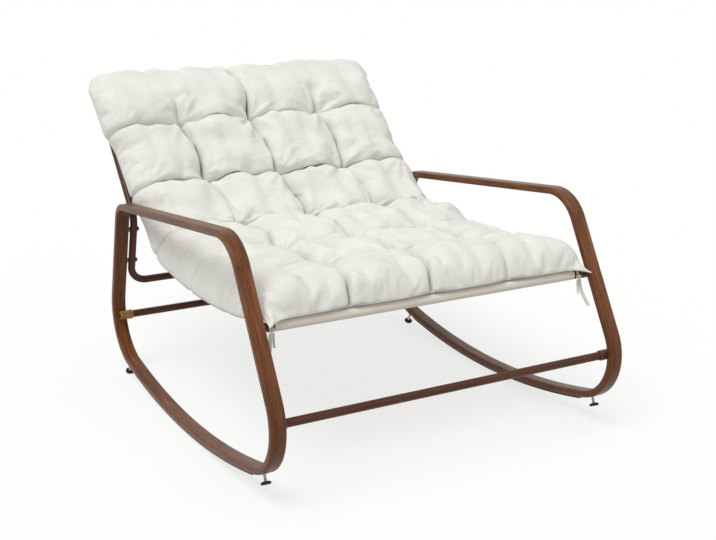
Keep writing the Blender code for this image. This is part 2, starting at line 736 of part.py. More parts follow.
def make_back_frame(root, finish):
    knee = back_knee()
    base = rear_post_at(BACK_BASE_HEIGHT)
    half_path = [(back_top(), 0.0), (knee, BACK_KNEE_BEND), (base, BACK_BASE_BEND)]
    corners = [(in_plane(-BACK_PLANE, point), radius) for point, radius in half_path]
    corners += [(in_plane(BACK_PLANE, point), radius) for point, radius in reversed(half_path)]
    frames = ring_frames(filleted(corners, BACK_BEND_STEPS), ACROSS)
    outer, sides = sweep(frames, circle_profile(BACK_TUBE_RADIUS, ROUND_SIDES), False)
    inner, _ = sweep(frames, circle_profile(BACK_TUBE_RADIUS - BACK_TUBE_WALL, ROUND_SIDES), False)
    count = len(outer)
    faces = sides + [tuple(count + index for index in reversed(face)) for face in sides]
    for start, step in ((0, 1), (count - ROUND_SIDES, -1)):
        for side in range(ROUND_SIDES):
            after = (side + 1) % ROUND_SIDES
            ring = (start + after, start + side, count + start + side, count + start + after)
            faces.append(ring[::step])
    mesh = make_mesh("back_frame", facing(outer + inner, faces))
    spots = [rear_post_at(height) for height in BACK_BOLT_HEIGHTS] + [top_bar_axis()]
    margin = 2 * BACK_TUBE_RADIUS
    holes = []
    for spot in spots:
        for side in (-1, 1):
            middle = side * BACK_PLANE
            holes.append(rod(BOLT_HOLE, in_plane(middle - margin, spot), in_plane(middle + margin, spot)))
    mesh = combined(mesh, joined(*holes), "DIFFERENCE")
    add_object("back_frame", mesh, root, finish)


def make_back_fasteners(root, finishes):
    """Bolt, spacer and threaded insert at each back joint, with the bolt's head on the seat's side."""
    post_face = PLANE - TUBE_WIDTH / 2
    flange_face = post_face - SEAT_GAP - INSERT_FLANGE
    tube_outer = BACK_PLANE + BACK_TUBE_RADIUS
    tube_inner = BACK_PLANE - BACK_TUBE_RADIUS
    length = flange_face - tube_outer - 2 * SEAT_GAP
    spacer_profile = [(BOLT_HOLE, 0.0), (SPACER_RADIUS, 0.0), (SPACER_RADIUS, length), (BOLT_HOLE, length)]
    spacer = make_mesh("back_spacer", lathe(spacer_profile, SMALL_SIDES))
    insert = make_mesh("post_insert", insert_surface(BOLT_HOLE))
    head = tube_inner - SEAT_GAP
    bolt = make_mesh("back_bolt", bolt_surface(flange_face + INSERT_LENGTH - head))
    for hand, side in SIDES:
        out = Vector((side, 0.0, 0.0))
        for level, height in zip(("upper", "lower"), BACK_BOLT_HEIGHTS):
            spot = rear_post_at(height)
            pieces = (
                ("bolt", bolt, head, "black_steel"),
                ("spacer", spacer, tube_outer + SEAT_GAP, "black_plastic"),
                ("insert", insert, flange_face, "zinc_steel"),
            )
            for kind, mesh, x, finish in pieces:
                frame = pointing(in_plane(side * x, spot), out)
                add_object(f"back_{level}_{hand}_{kind}", mesh, root, finishes[finish], frame)


def make_top_bar(root, finishes):
    bar = make_mesh("top_bar", lathe(bar_profile(TOP_BAR_LENGTH), ROUND_SIDES))
    axis = top_bar_axis()
    add_object("top_bar", bar, root, finishes["wood_paint"], pointing(in_plane(0.0, axis), ACROSS))
    reach = 2 * BACK_TUBE_RADIUS + 2 * SEAT_GAP + BAR_BOLT_REACH
    bolt = make_mesh("top_bar_bolt", bolt_surface(reach))
    bore = BACK_TUBE_RADIUS - BACK_TUBE_WALL - SEAT_GAP
    plug_profile = [
        (0.0, PLUG_FLANGE + SEAT_GAP),
        (BACK_TUBE_RADIUS * PLUG_CROWN, PLUG_FLANGE + SEAT_GAP),
        (BACK_TUBE_RADIUS, SEAT_GAP),
        (bore, SEAT_GAP),
        (bore, -PLUG_DEPTH),
        (0.0, -PLUG_DEPTH),
    ]
    plug = make_mesh("upright_plug", lathe(plug_profile, ROUND_SIDES))
    up = in_plane(0.0, direction(90 - BACK_RECLINE))
    for hand, side in SIDES:
        head = in_plane(side * (BACK_PLANE + BACK_TUBE_RADIUS + SEAT_GAP), axis)
        inward = pointing(head, -side * ACROSS)
        add_object(f"top_bar_{hand}_bolt", bolt, root, finishes["black_steel"], inward)
        place = pointing(in_plane(side * BACK_PLANE, back_top()), up)
        add_object(f"upright_{hand}_plug", plug, root, finishes["black_plastic"], place)


# Sling


def walk(start, heading, stretches):
    """A side-plane path of (length, turn in degrees) stretches, with the point and heading at its end."""
    path = []
    for length, turn in stretches:
        path.append((start, heading, length, turn))
        if turn:
            radius = length / math.radians(turn)
            start = start + (left_of(direction(heading)) - left_of(direction(heading + turn))) * radius
        else:
            start = start + direction(heading) * length
        heading += turn
    return path, start, heading


def along(path, distance):
    """Point and heading at a distance along a path."""
    for start, heading, length, turn in path:
        if distance <= length or (start, heading, length, turn) == path[-1]:
            break
        distance -= length
    _, point, heading = walk(start, heading, [(distance, turn * distance / length)])
    return point, heading


def path_length(path):
    return sum(length for _, _, length, _ in path)


def sling_start(seat_axis):
    return seat_axis + left_of(direction(-SLING_DIP)) * SLEEVE_MIDDLE


def sling_stretches(seat_axis, top_axis):
    """Seat arc, knee arc and straight back. The knee turns until the back meets the top bar's sleeve."""
    seat = (math.radians(SEAT_ARC_TURN) * SEAT_ARC_RADIUS, SEAT_ARC_TURN)
    low = 0.0
    high = 90.0
    for _ in range(SEARCH_HALVINGS):
        turn = (low + high) / 2
        knee = (math.radians(turn) * SLING_KNEE_RADIUS, turn)
        _, end, heading = walk(sling_start(seat_axis), -SLING_DIP, [seat, knee])
        target = top_axis + left_of(direction(heading)) * SLEEVE_MIDDLE
        if left_of(direction(heading)).dot(target - end) > 0:
            low = turn
        else:
            high = turn
    back = ((target - end).length, 0.0)
    return [seat, knee, back], heading


def extruded(outline, cells):
    """A solid across the chair from flat cells that share points. Each point has its own half width."""
    points = [in_plane(-wide, point) for point, wide in outline]
    points += [in_plane(wide, point) for point, wide in outline]
    count = len(outline)
    faces = []
    edges = {}
    for cell in cells:
        faces.append(tuple(cell))
        faces.append(tuple(count + index for index in reversed(cell)))
        for start, end in zip(cell, cell[1:] + cell[:1]):
            edges[(start, end)] = edges.get((start, end), 0) + 1
    for start, end in edges:
        if (end, start) not in edges:
            faces.append((end, start, count + start, count + end))
    return facing(points, faces)


def sleeve(outline, cells, axis, first, turn, wide, strip_end):
    """Adds a ring of cells round a bar, from where the sheet leaves it, and returns the sheet's edge."""
    inner = BAR_RADIUS + SEAT_GAP
    outer = inner + SLING_THICKNESS
    step = turn * 360 / SLEEVE_SIDES
    rings = []
    for side in range(SLEEVE_SIDES):
        ray = direction(first + step * side)
        rings.append((len(outline), len(outline) + 1))
        outline.append((axis + ray * inner, wide))
        outline.append((axis + ray * outer, wide))
    ring_cells = []
    for side in range(SLEEVE_SIDES - 2):
        (near, far), (next_near, next_far) = rings[side], rings[side + 1]
        ring_cells.append([near, far, next_far, next_near])
    before, last, start = rings[-2], rings[-1], rings[0]
    ring_cells.append([before[0], before[1], last[0]])
    ring_cells.append([last[0], before[1], start[0]])
    upper = len(outline)
    outline.append((strip_end, wide))
    ring_cells.append([start[0], before[1], upper, start[1]])
    cells += [cell[::turn] for cell in ring_cells]
    return before[1], upper


def make_sling(root, finish, seat_axis, top_axis):
    """One sheet with a sleeve round the seat bar and one round the top bar."""
    stretches, top_heading = sling_stretches(seat_axis, top_axis)
    path, _, _ = walk(sling_start(seat_axis), -SLING_DIP, stretches)
    total = path_length(path)
    half = SLING_THICKNESS / 2
    lead = (SLEEVE_MIDDLE + half) * math.sin(4 * math.pi / SLEEVE_SIDES)
    outline = []
    cells = []
    first, heading = along(path, lead)
    first_top = first + left_of(direction(heading)) * half
    start_edge = sleeve(outline, cells, seat_axis, 90 - SLING_DIP, 1, SLING_FRONT_WIDTH / 2, first_top)
    last, heading = along(path, total - lead)
    last_top = last + left_of(direction(heading)) * half
    end_edge = sleeve(outline, cells, top_axis, 90 + top_heading, -1, SLING_TOP_WIDTH / 2, last_top)
    marks = []
    begin = 0.0
    for (_, _, length, _), steps in zip(path, SLING_STEPS):
        marks += [begin + length * step / steps for step in range(steps)]
        begin += length
    lower, upper = start_edge
    for mark in [mark for mark in marks if 2 * lead < mark < total - 2 * lead]:
        point, heading = along(path, mark)
        normal = left_of(direction(heading)) * half
        wide = (SLING_FRONT_WIDTH + (SLING_TOP_WIDTH - SLING_FRONT_WIDTH) * mark / total) / 2
        outline.append((point - normal, wide))
        outline.append((point + normal, wide))
        cells.append([lower, len(outline) - 2, len(outline) - 1, upper])
        lower, upper = len(outline) - 2, len(outline) - 1
    cells.append([lower, end_edge[0], end_edge[1], upper])
    mesh = make_mesh("sling", extruded(outline, cells))
    add_object("sling", mesh, root, finish)


# Cushion


def groove(share, count):
    """How near a place in cells is to a sewn line between two of them, from 0 to 1."""
    if share < 0.5 or share > count - 0.5:
        return 0.0
    return abs(math.cos(math.pi * share)) ** CREASE_SHARPNESS


def row_at(distance, marks):
    """Place among the rows of puffs, in cells, from the distances where the rows end."""
    for cell, (near, far) in enumerate(zip(marks, marks[1:])):
        if distance <= far:
            return cell + (distance - near) / (far - near)
    return len(marks) - 1


def bulge(share):
    """A quarter round from 0 to 1."""
    return math.sqrt(1 - (1 - min(1.0, share)) ** 2)


def ease(share):
    """A smooth step from 0 to 1."""
    share = max(0.0, min(1.0, share))
    return share * share * (3 - 2 * share)


def cushion_bed(seat_axis, top_axis):
    """The path along the sling's upper side, ahead of the seat bar, up the back and over the top bar."""
    stretches, _ = sling_stretches(seat_axis, top_axis)
    over = SLING_THICKNESS / 2 + SEAT_GAP + CURVE_RELIEF
    start = sling_start(seat_axis) + left_of(direction(-SLING_DIP)) * over
    start -= direction(-SLING_DIP) * CUSHION_OVERHANG
    bed = [(CUSHION_OVERHANG, 0.0)]
    for length, turn in stretches:
        bed.append((length - over * math.radians(turn), turn))
    bed.append((CUSHION_WRAP_START, 0.0))
    bed.append((math.radians(CUSHION_WRAP_TURN) * CUSHION_WRAP_RADIUS, -CUSHION_WRAP_TURN))
    bed.append((CUSHION_TAIL, 0.0))
    path, _, _ = walk(start, -SLING_DIP, bed)
    return path


def puff_height(crown, row_groove, column_groove, front, top):
    """Height above the bed, less the creases and tufts, thinned towards the front edge and the top bar."""
    depth = crown / CUSHION_SEAT_CROWN
    height = crown - CREASE_DEPTH * depth * max(row_groove, column_groove)
    height -= (TUFT_DEPTH - CREASE_DEPTH) * depth * row_groove * column_groove
    height = CUSHION_FRONT_EDGE + (height - CUSHION_FRONT_EDGE) * front
    return CUSHION_TOP_EDGE + (height - CUSHION_TOP_EDGE) * top


def make_cushion(root, finish, seat_axis, top_axis):
    """Rings across the cushion, one after the other along its bed, with puffs between sewn tufts."""
    path = cushion_bed(seat_axis, top_axis)
    total = path_length(path)
    seat_end = sum(length for _, _, length, _ in path[:2])
    columns = [cell + share for cell in range(TUFT_COLUMNS) for share in CELL_SHARES] + [TUFT_COLUMNS]
    marks = [0.0] + [total * share for share in TUFT_ROW_SHARES] + [total]
    wrap_end = total - CUSHION_TAIL
    wrap = [wrap_end - path[-2][2] * step / WRAP_STEPS for step in range(WRAP_STEPS, -1, -1)]
    margin = CUSHION_WRAP_RADIUS / 2
    distances = [near + (far - near) * share for near, far in zip(marks, marks[1:]) for share in CELL_SHARES]
    distances = [distance for distance in distances if distance < wrap[0] - margin] + wrap + [total]
    blend = path[2][2] + CUSHION_BLEND
    points = []
    for distance in distances:
        place, heading = along(path, distance)
        normal = left_of(direction(heading))
        front = bulge(distance / CUSHION_FRONT_ROUNDING)
        top = ease((wrap[0] - distance) / CUSHION_TOP_ROUNDING)
        upright = ease((distance - seat_end) / blend)
        crown = CUSHION_SEAT_CROWN + (CUSHION_BACK_CROWN - CUSHION_SEAT_CROWN) * upright
        width = CUSHION_SEAT_WIDTH + (CUSHION_BACK_WIDTH - CUSHION_SEAT_WIDTH) * upright
        row_groove = groove(row_at(distance, marks), len(marks) - 1)
        lean = ease((distance - marks[2]) / (marks[-2] - marks[2]))
        shift = TUFT_SEAT_SHIFT + (TUFT_BACK_SHIFT - TUFT_SEAT_SHIFT) * lean
        ear = CUSHION_EAR * max(0.0, 1 - distance / CUSHION_FRONT_ROUNDING)
        half = width / 2 - CUSHION_DRAWN_IN * row_groove + ear
        full = puff_height(crown, 0.0, 0.0, front, top)
        seam = CUSHION_SIDE_LIFT * full / CUSHION_SEAT_CROWN
        for column in columns:
            side = 2 * column / TUFT_COLUMNS - 1
            height = puff_height(crown, row_groove, groove(column, TUFT_COLUMNS), front, top)
            rise = seam + (height - seam) * math.sqrt(max(0.0, 1 - abs(side) ** SIDE_ROUNDNESS))
            x = half * side + shift * min(1.0, (1 - abs(side)) * TUFT_COLUMNS / 2)
            points.append(in_plane(x, place + normal * rise))
        for side in reversed(UNDERSIDE_SHARES):
            points.append(in_plane(half * side, place + normal * seam * abs(side) ** UNDERSIDE_ROUNDNESS))
    ring = len(columns) + len(UNDERSIDE_SHARES)
    faces = [tuple(range(ring)), tuple(range(len(points) - ring, len(points)))[::-1]]
    for start in range(0, len(points) - ring, ring):
        for corner in range(ring):
            after = (corner + 1) % ring
            faces.append((start + after, start + corner, start + ring + corner, start + ring + after))
    mesh = make_mesh("cushion", facing(points, faces))
    add_object("cushion", mesh, root, finish)


# Ties


def make_ties(root, finish, seat_axis):
    """A band with a knot round each bare end of the seat bar, and two tails that hang from the knot."""
    bore = BAR_RADIUS + SEAT_GAP
    outer = bore + TIE_THICKNESS
    half = TIE_BAND / 2
    band = lathe([(bore, -half), (outer, -half), (outer, half), (bore, half)], SLEEVE_SIDES)
    ball = [(0.0, -TIE_KNOT_RADIUS)]
    for step in range(1, KNOT_STEPS):
        angle = math.pi * step / KNOT_STEPS
        ball.append((TIE_KNOT_RADIUS * math.sin(angle), -TIE_KNOT_RADIUS * math.cos(angle)))
    ball.append((0.0, TIE_KNOT_RADIUS))
    knot_middle = in_plane(0.0, direction(TIE_KNOT_ANGLE) * (outer + TIE_KNOT_STAND))
    mesh = make_mesh("tie_knot", moved(band, pointing(Vector(), ACROSS)))
    knot = moved(lathe(ball, SMALL_SIDES), Matrix.Translation(knot_middle))
    mesh = combined(mesh, knot, "UNION")
    bar_bore = rod(bore, -ACROSS * TIE_BAND, ACROSS * TIE_BAND, SLEEVE_SIDES)
    mesh = combined(mesh, bar_bore, "DIFFERENCE")
    tails = (("long", TIE_LONG_DROP, TIE_LONG_SWING, 1), ("short", TIE_SHORT_DROP, TIE_SHORT_SWING, -1))
    for hand, side in SIDES:
        place = in_plane(side * (PLANE - TIE_INSET), seat_axis)
        add_object(f"{hand}_tie_knot", mesh, root, finish, Matrix.Translation(place))
        for kind, drop, (out, ahead), way in tails:
            below = Vector((side * way * TIE_CORD_SPREAD, 0.0, -TIE_KNOT_RADIUS - SEAT_GAP))
            start = Matrix.Translation(place + knot_middle + below)
            count = math.ceil(drop / (4 * TIE_CORD_RADIUS))
            shares = [step / count for step in range(count + 1)]
            route = [Vector((side * out * share**2, ahead * share**2, -drop * share)) for share in shares]
            add_object(f"{hand}_tie_{kind}_tail", cord(f"tie_{kind}_tail", route), root, finish, start)


def cord(name, route):
    """A round cord along a route, as a bevelled curve with closed ends."""
    curve = bpy.data.curves.new(name, "CURVE")
    curve.dimensions = "3D"
    curve.bevel_depth = TIE_CORD_RADIUS
    curve.bevel_resolution = 2
    curve.use_fill_caps = True
    spline = curve.splines.new("POLY")
    spline.points.add(len(route) - 1)
    for point, place in zip(spline.points, route):
        point.co = (*place, 1.0)
    return curve


def middle_of(root):
    """Middle of the finished chair from front to back."""
    bpy.context.view_layer.update()
    depths = []
    for each in root.children_recursive:
        if each.type != "EMPTY":
            depths += [(each.matrix_world @ Vector(corner)).y for corner in each.bound_box]
    return (min(depths) + max(depths)) / 2


def main():
    for each in list(bpy.data.objects):
        bpy.data.objects.remove(each)
    finishes = make_materials()
    root = add_empty("rocking_chair", None)
    glides = glide_places()
    seat_axis = bar_seats()["seat_bar"][0]
    top_axis = top_bar_axis()
    make_side_frames(root, finishes["wood_paint"], glides)
    make_strips(root, finishes["rubber"])
    make_glides(root, finishes, glides)
    make_bars(root, finishes)
    make_back_frame(root, finishes["wood_paint"])
    make_back_fasteners(root, finishes)
    make_top_bar(root, finishes)
    make_sling(root, finishes["sling_fabric"], seat_axis, top_axis)
    make_cushion(root, finishes["cushion_fabric"], seat_axis, top_axis)
    make_ties(root, finishes["tie_fabric"], seat_axis)
    root.location.y = -middle_of(root)


main()
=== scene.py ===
"""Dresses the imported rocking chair: wood-grain tubes, threaded glides, a woven sling and a tufted cushion.

Metres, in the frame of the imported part: +Z up, the sitter faces -Y, X runs across.
A side-plane point is (y, z).
"""

import json
import math

import bpy
import numpy as np
from mathutils import Matrix, Vector

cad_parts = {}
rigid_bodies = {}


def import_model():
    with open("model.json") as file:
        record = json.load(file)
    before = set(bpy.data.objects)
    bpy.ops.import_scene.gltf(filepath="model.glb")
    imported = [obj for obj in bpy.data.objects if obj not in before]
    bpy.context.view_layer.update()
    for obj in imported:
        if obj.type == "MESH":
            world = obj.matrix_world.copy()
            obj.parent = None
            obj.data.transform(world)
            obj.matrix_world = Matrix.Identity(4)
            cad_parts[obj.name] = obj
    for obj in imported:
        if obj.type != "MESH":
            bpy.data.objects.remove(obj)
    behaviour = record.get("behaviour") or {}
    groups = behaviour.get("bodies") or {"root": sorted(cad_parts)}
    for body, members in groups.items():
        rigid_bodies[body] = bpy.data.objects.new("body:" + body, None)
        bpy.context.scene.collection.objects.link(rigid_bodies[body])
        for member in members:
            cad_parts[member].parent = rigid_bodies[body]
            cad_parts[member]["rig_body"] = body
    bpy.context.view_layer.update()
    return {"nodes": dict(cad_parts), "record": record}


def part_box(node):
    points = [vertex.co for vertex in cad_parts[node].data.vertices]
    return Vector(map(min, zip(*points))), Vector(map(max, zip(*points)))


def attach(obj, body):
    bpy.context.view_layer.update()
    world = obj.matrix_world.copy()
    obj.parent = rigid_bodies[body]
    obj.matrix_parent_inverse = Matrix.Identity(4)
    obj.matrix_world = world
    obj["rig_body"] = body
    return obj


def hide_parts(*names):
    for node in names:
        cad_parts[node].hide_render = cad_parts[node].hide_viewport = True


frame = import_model()
NODES = frame["nodes"]
CONTACT_Y = frame["record"]["mounts"][0]["pos_m"][1]  # where the rockers touch the floor

# The photograph's camera
CAMERA_PLACE = Vector((-1.5909, -2.9826, 1.3556))
CAMERA_YAW = math.radians(29.53)
CAMERA_PITCH = math.radians(16.55)
CAMERA_ROLL = math.radians(0.43)
CAMERA_LENS = 60.5

# Light and floor
WHITE = (1.0, 1.0, 1.0, 1.0)
LIGHT_COLOUR = (1.0, 0.995, 0.985, 1.0)
WORLD_LIGHT = 0.56
KEY_LIGHT = 1.66
KEY_FROM = Vector((-0.60, -0.30, 1.25))
FILL_LIGHT = 0.08
FILL_FROM = Vector((0.9, -0.8, 0.7))
LIGHT_SOFTNESS = math.radians(35)
FLOOR_REACH = 40.0
FLOOR_COLOUR = (0.95, 0.95, 0.945, 1.0)
FLOOR_GLOW = 0.72  # share of plain white that the camera sees in the floor
FLOOR_BOUNCE = (0.55, 0.55, 0.545, 1.0)  # its colour in the light that it throws back

# Meshes
SIDES = (("left", -1), ("right", 1))
ACROSS = Vector((1.0, 0.0, 0.0))
PIECE_GAP = 0.0003
SHARP_ANGLE = 40.0  # degrees, from which an edge is shaded as a sharp one
NEVER_SHARP = 180.0
ROUND_SIDES = 40
FITTING_ROUNDS = 60  # of halving or scaling, until a value fits

# Side frames
TUBE_WIDTH = 0.040
TUBE_DEPTH = 0.020
TUBE_CORNER = 0.005
ROCKER_RADIUS = 2.083
ROCKER_BASE = 0.0043
FRONT_LEG_FOOT = -0.757
FRONT_LEG_LEAN = 30.3
ARM_CORNER_HEIGHT = 0.627
ARM_FALL = 7.1
REAR_POST_FOOT = 0.564
REAR_POST_LEAN = 15.5
FRONT_TOP_BEND = 0.1155
REAR_TOP_BEND = 0.055
REAR_BOTTOM_BEND = 0.147
FRONT_BOTTOM_BEND = 0.135
BEND_STEP = 3.0  # degrees
ROCKER_STEP = 1.0  # degrees
CORNER_STEPS = 5
TUBE_SHARP_ANGLE = 60.0
HOLE_RADIUS = 0.0063
HOLE_SIDES = 20

# Bars, sockets, bolts and glides
BAR_RADIUS = 0.011
BAR_BORE = 0.0095
BAR_PLATE = 0.008
BAR_BEVEL = 0.0006
SOCKET_RADIUS = 0.014
SOCKET_GROOVE = 0.0013  # depth of a groove, and of the bevel at each end
SOCKET_GROOVES = (0.0085, 0.0270)  # from the outer end
SOCKET_GROOVE_WIDTH = 0.0030
SOCKET_FLOOR = 0.003
SOCKET_HOLE = 0.0045
BOLT_BEVEL = 0.0007
BOLT_BEVEL_ANGLE = math.radians(50)
STEM_RADIUS = 0.004
STEM_INSIDE = 0.012
THREAD_PITCH = 0.00125
THREAD_DEPTH = 0.0006
THREAD_SIDES = 18
THREAD_STEPS = 4  # in a turn
PAD_RADIUS = 0.013
PAD_HEIGHT = 0.007
PAD_SOCKET = 0.004
PAD_BEVEL = 0.00075
PAD_RIM = PAD_HEIGHT / 5
PAD_HOLLOW = 2.3 * PAD_RIM  # from the pad's edge to the hollow of its underside
NECK_RADII = (0.0068, 0.0076)  # of the pad's neck, at its end and its foot
INSERT_FLANGE_RADIUS = 0.0085
INSERT_FLANGE = 0.0012
INSERT_BEVEL = 0.00048
INSERT_LENGTH = 0.009
GLIDE_TILT = {"front": -23.5, "rear": 20.0}

# Back frame
BACK_TUBE_RADIUS = 0.011
BACK_TUBE_SIDES = 28
BACK_KNEE_HEIGHT = 0.485
BACK_RECLINE = 40.5
BACK_UPRIGHT = 0.455
BACK_KNEE_BEND = 0.060
BACK_BASE_HEIGHT = 0.271
BACK_BASE_BEND = 0.050

# Sling
SLING_THICKNESS = 0.002
SLING_DIP = 14.0
SEAT_ARC_RADIUS = 1.800
SEAT_ARC_TURN = 22.0
SLING_KNEE_RADIUS = 0.160
SLEEVE_MIDDLE = BAR_RADIUS + PIECE_GAP + SLING_THICKNESS / 2
SLING_HEM = 0.030  # from the bar's middle to the seam that closes a sleeve
SLING_STEP = 0.012
SLING_SPANS = 24  # across
SLING_TOP_BAND = 0.010  # from the sheet's top, over which its upper width is read
SLEEVE_STEPS = 28
SLING_PITCH = 0.0018  # of the threads
STITCH_COLOUR = (0.30, 0.28, 0.24, 1.0)
STITCH_INSET = 0.006
STITCH_WIDTH = 0.0014
STITCH_PACE = 0.0045
STITCH_SHARE = 0.65

# Cushion
ROW_SHARES = (0.0, 0.174, 0.348, 0.531, 0.675, 0.826, 1.0)  # of its length, to the ends and the rows of tufts
ROWS = len(ROW_SHARES) - 1  # puffs along
COLUMNS = 4  # puffs across
COLUMN_FOLDS = (
    (1.2, 1.1, 0.5),
    (0.8, 0.8, 0.9),
    (0.7, 1.0, 0.9),
    (0.4, 1.3, 0.5),
    (1.1, 1.3, 1.0),
    (0.6, 1.2, 0.7),
)  # strength of the folds that run down between tufts, from the front row of puffs to the top one
ROW_FOLDS = (
    (1.2, 1.3, 1.3, 1.1),
    (1.0, 1.2, 1.2, 0.9),
    (0.8, 1.0, 1.2, 1.0),
    (0.9, 1.0, 1.2, 1.0),
    (1.3, 0.5, 0.5, 0.7),
)  # strength of the folds that run across, from the front row of tufts to the top one
FOLD_BLEND = 0.15  # of a puff, over which one strength goes over to the next
TOP_FADE = 0.55  # of the top row of puffs, over which its folds fade out
TOP_FOLD = 2  # the column whose fold runs on over the top edge
BULGE_PLACE = (0.440, 0.590)  # x and distance of the filling that is pushed up beside the knee
BULGE_HEIGHT = 0.030
BULGE_REACH = 0.055
SEAT_SHIFT = 0.040  # of the tufts off the middle, on the seat
BACK_SHIFT = -0.034  # the same at the uppermost row
FRONT_SHIFT = -0.008  # the same at the front edge
CUSHION_HALF = 0.468
SEAT_CROWN = 0.083
BACK_CROWN = 0.061
CROWN_BLEND = 0.200  # length over which the seat's form goes over to the back's
BACK_SLIDE = -0.014  # how far the loose back has slid to one side
SLIDE_START = 0.850
SLIDE_LENGTH = 0.150
TOP_FLARE = 0.017  # by which the back's upper part hangs out on that side
FLARE_START = 1.120
FLARE_LENGTH = 0.100
CORNER_FLARE = 0.022  # by which the other upper corner covers its upright
CORNER_FLARE_START = 1.290
FRONT_ROUNDING = 0.055
FRONT_SHARE = 0.32  # of the first row of puffs that makes the front face
FRONT_FOLD = 0.022  # by which the folds between puffs are drawn into the front face
TOP_EDGE = 0.024
TOP_ROUNDING = 0.110
CORNER_CUT = 0.016
CORNER_LENGTH = 0.045
END_ROUNDING = 0.018
EDGE_ROUNDING = 0.85
SIDE_LIFT = 0.002  # of the side seams at the front corners and on the right of the back
SIDE_DROOP = -0.012  # of the side seams where they hang past the sling
DROOP_START = 0.060
DROOP_LENGTH = 0.120
DRAWN_IN = 0.012
SIDE_FULLNESS = 14
TUFT_SINK = 0.86  # of the height, at a tuft
COLUMN_SINK = 0.66  # of the height, down the lines between tufts
ROW_SINK = 0.50  # of the height, along the rows
CREASE_SHARPNESS = 18
SEAM_SHADE = 0.45  # strength of the painted shade line of a fold, along the seam round the cushion
SHADE_LINE_SHARPNESS = 3  # by which the painted shade line in a fold is narrower than the fold
SHADE_LINE_FADE = 5  # the higher, the nearer to the side seams the rows' painted shade lines run
CREASE_BOW = 0.010  # by which the lines between tufts bow
ON_LINE = 1 - 1e-6  # nearness from which a point counts as on the line between cells
COLUMN_HOLD = 0.035
ROW_HOLD = 0.012
LUMP = 0.0045
LUMP_SIZE = 0.090
LUMP_SPREAD = (0.6, 1.8)  # least and most of that size
LUMP_WAVES = 24
WRINKLE = 0.0008
WRINKLE_SIZE = 0.034
WRINKLE_SPREAD = (0.8, 2.0)  # least and most of that size
WRINKLE_WAVES = 14
WRINKLE_PATCH = (4, 7)  # size of a patch of wrinkles along and across them, in widths of a wrinkle
WRINKLE_WAVER = (2, 5)  # strength and length of the bends in a wrinkle
PUCKER = 0.0060
PUCKER_REACH = 0.052
PUCKER_REACH_SPREAD = (0.8, 1.4)  # least and most of that reach
PUCKER_SPREAD = (0.5, 1.2)  # least and most of the height
PUCKER_FOLDS = 5
PUCKER_WAVER = 1.2
PUCKER_SHARPNESS = 0.6
SIDE_PUCKER = 0.16  # of a puff, from a side seam to the puckers along it
EAR = (0.010, -0.028, -0.010)
EAR_REACH = 0.024
PUFF_STEPS = 36
SIDE_CROWDING = 1.5  # by which the points lie closer towards the side seams
FRONT_STEPS = 16
UNDER_SKIP = 6
UNDER_FULLNESS = 40
BED_GAP = 0.0016
BED_STEPS = 1200
OVERHANG = 0.022
WRAP_START = 0.006
WRAP_RADIUS = 0.020
WRAP_TURN = 90.0
TAIL = 0.014
CANVAS_PITCH = 0.0011  # of the threads
CLOTH = {
    "quality": 6,
    "mass": 0.15,
    "tension_stiffness": 12.0,
    "compression_stiffness": 12.0,
    "shear_stiffness": 5.0,
    "bending_stiffness": 0.04,
    "use_pressure": True,
    "uniform_pressure_force": 4.0,
    "shrink_min": -0.065,  # below zero, so some cloth is spare
}
CLOTH_FRAMES = 20
MOVE_LIMIT = 0.022  # by which the simulation may move a point
SIDE_LIMIT = 0.4785  # x that the cover keeps within
SEED = 7

# Ties
TIE_INSET = 0.043
TIE_OUTER = 0.0138
TIE_KNOT_STAND = 0.0027
TIE_KNOT_RADIUS = 0.008
TIE_KNOT_ANGLE = 190.0
TIE_KNOT_DEPTH = 0.45  # of its radius
TIE_KNOT_STEPS = 72
TIE_CORD_SIDES = 12
TIE_CORD_RADIUS = 0.0025
TIE_CORD_SPREAD = 0.0040
TIE_THICKNESS = 0.0018
TIE_TWIST = 50.0  # degrees, from a tail's knot to its end
TIE_TAILS = (
    ("long", 0.0760, 0.006, 0.036, 1, 0.009),
    ("short", 0.0378, -0.002, 0.010, -1, 0.006),
)  # name, length, swing outwards, swing ahead, side of the knot, width
TIE_SWING = {"left": -0.1, "right": 1.0}  # share of the swing ahead that each side has
TIE_STEPS = 18
TIE_TAPE_SIDES = 16


# Plane geometry


def direction(degrees):
    """Unit vector in the side plane, at an angle above the +Y direction."""
    angle = math.radians(degrees)
    return Vector((math.cos(angle), math.sin(angle)))


def left_of(vector):
    """The side-plane vector turned a quarter turn from +Y towards +Z."""
    return Vector((-vector.y, vector.x))


def in_plane(x, point):
    return Vector((x, point.x, point.y))


def axis_of(node):
    """Side-plane middle of a node that runs across the chair."""
    low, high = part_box(node)
    return Vector(((low.y + high.y) / 2, (low.z + high.z) / 2))


def frame_plane(hand):
    low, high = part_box(f"{hand}_side_frame")
    return (low.x + high.x) / 2


# Meshes


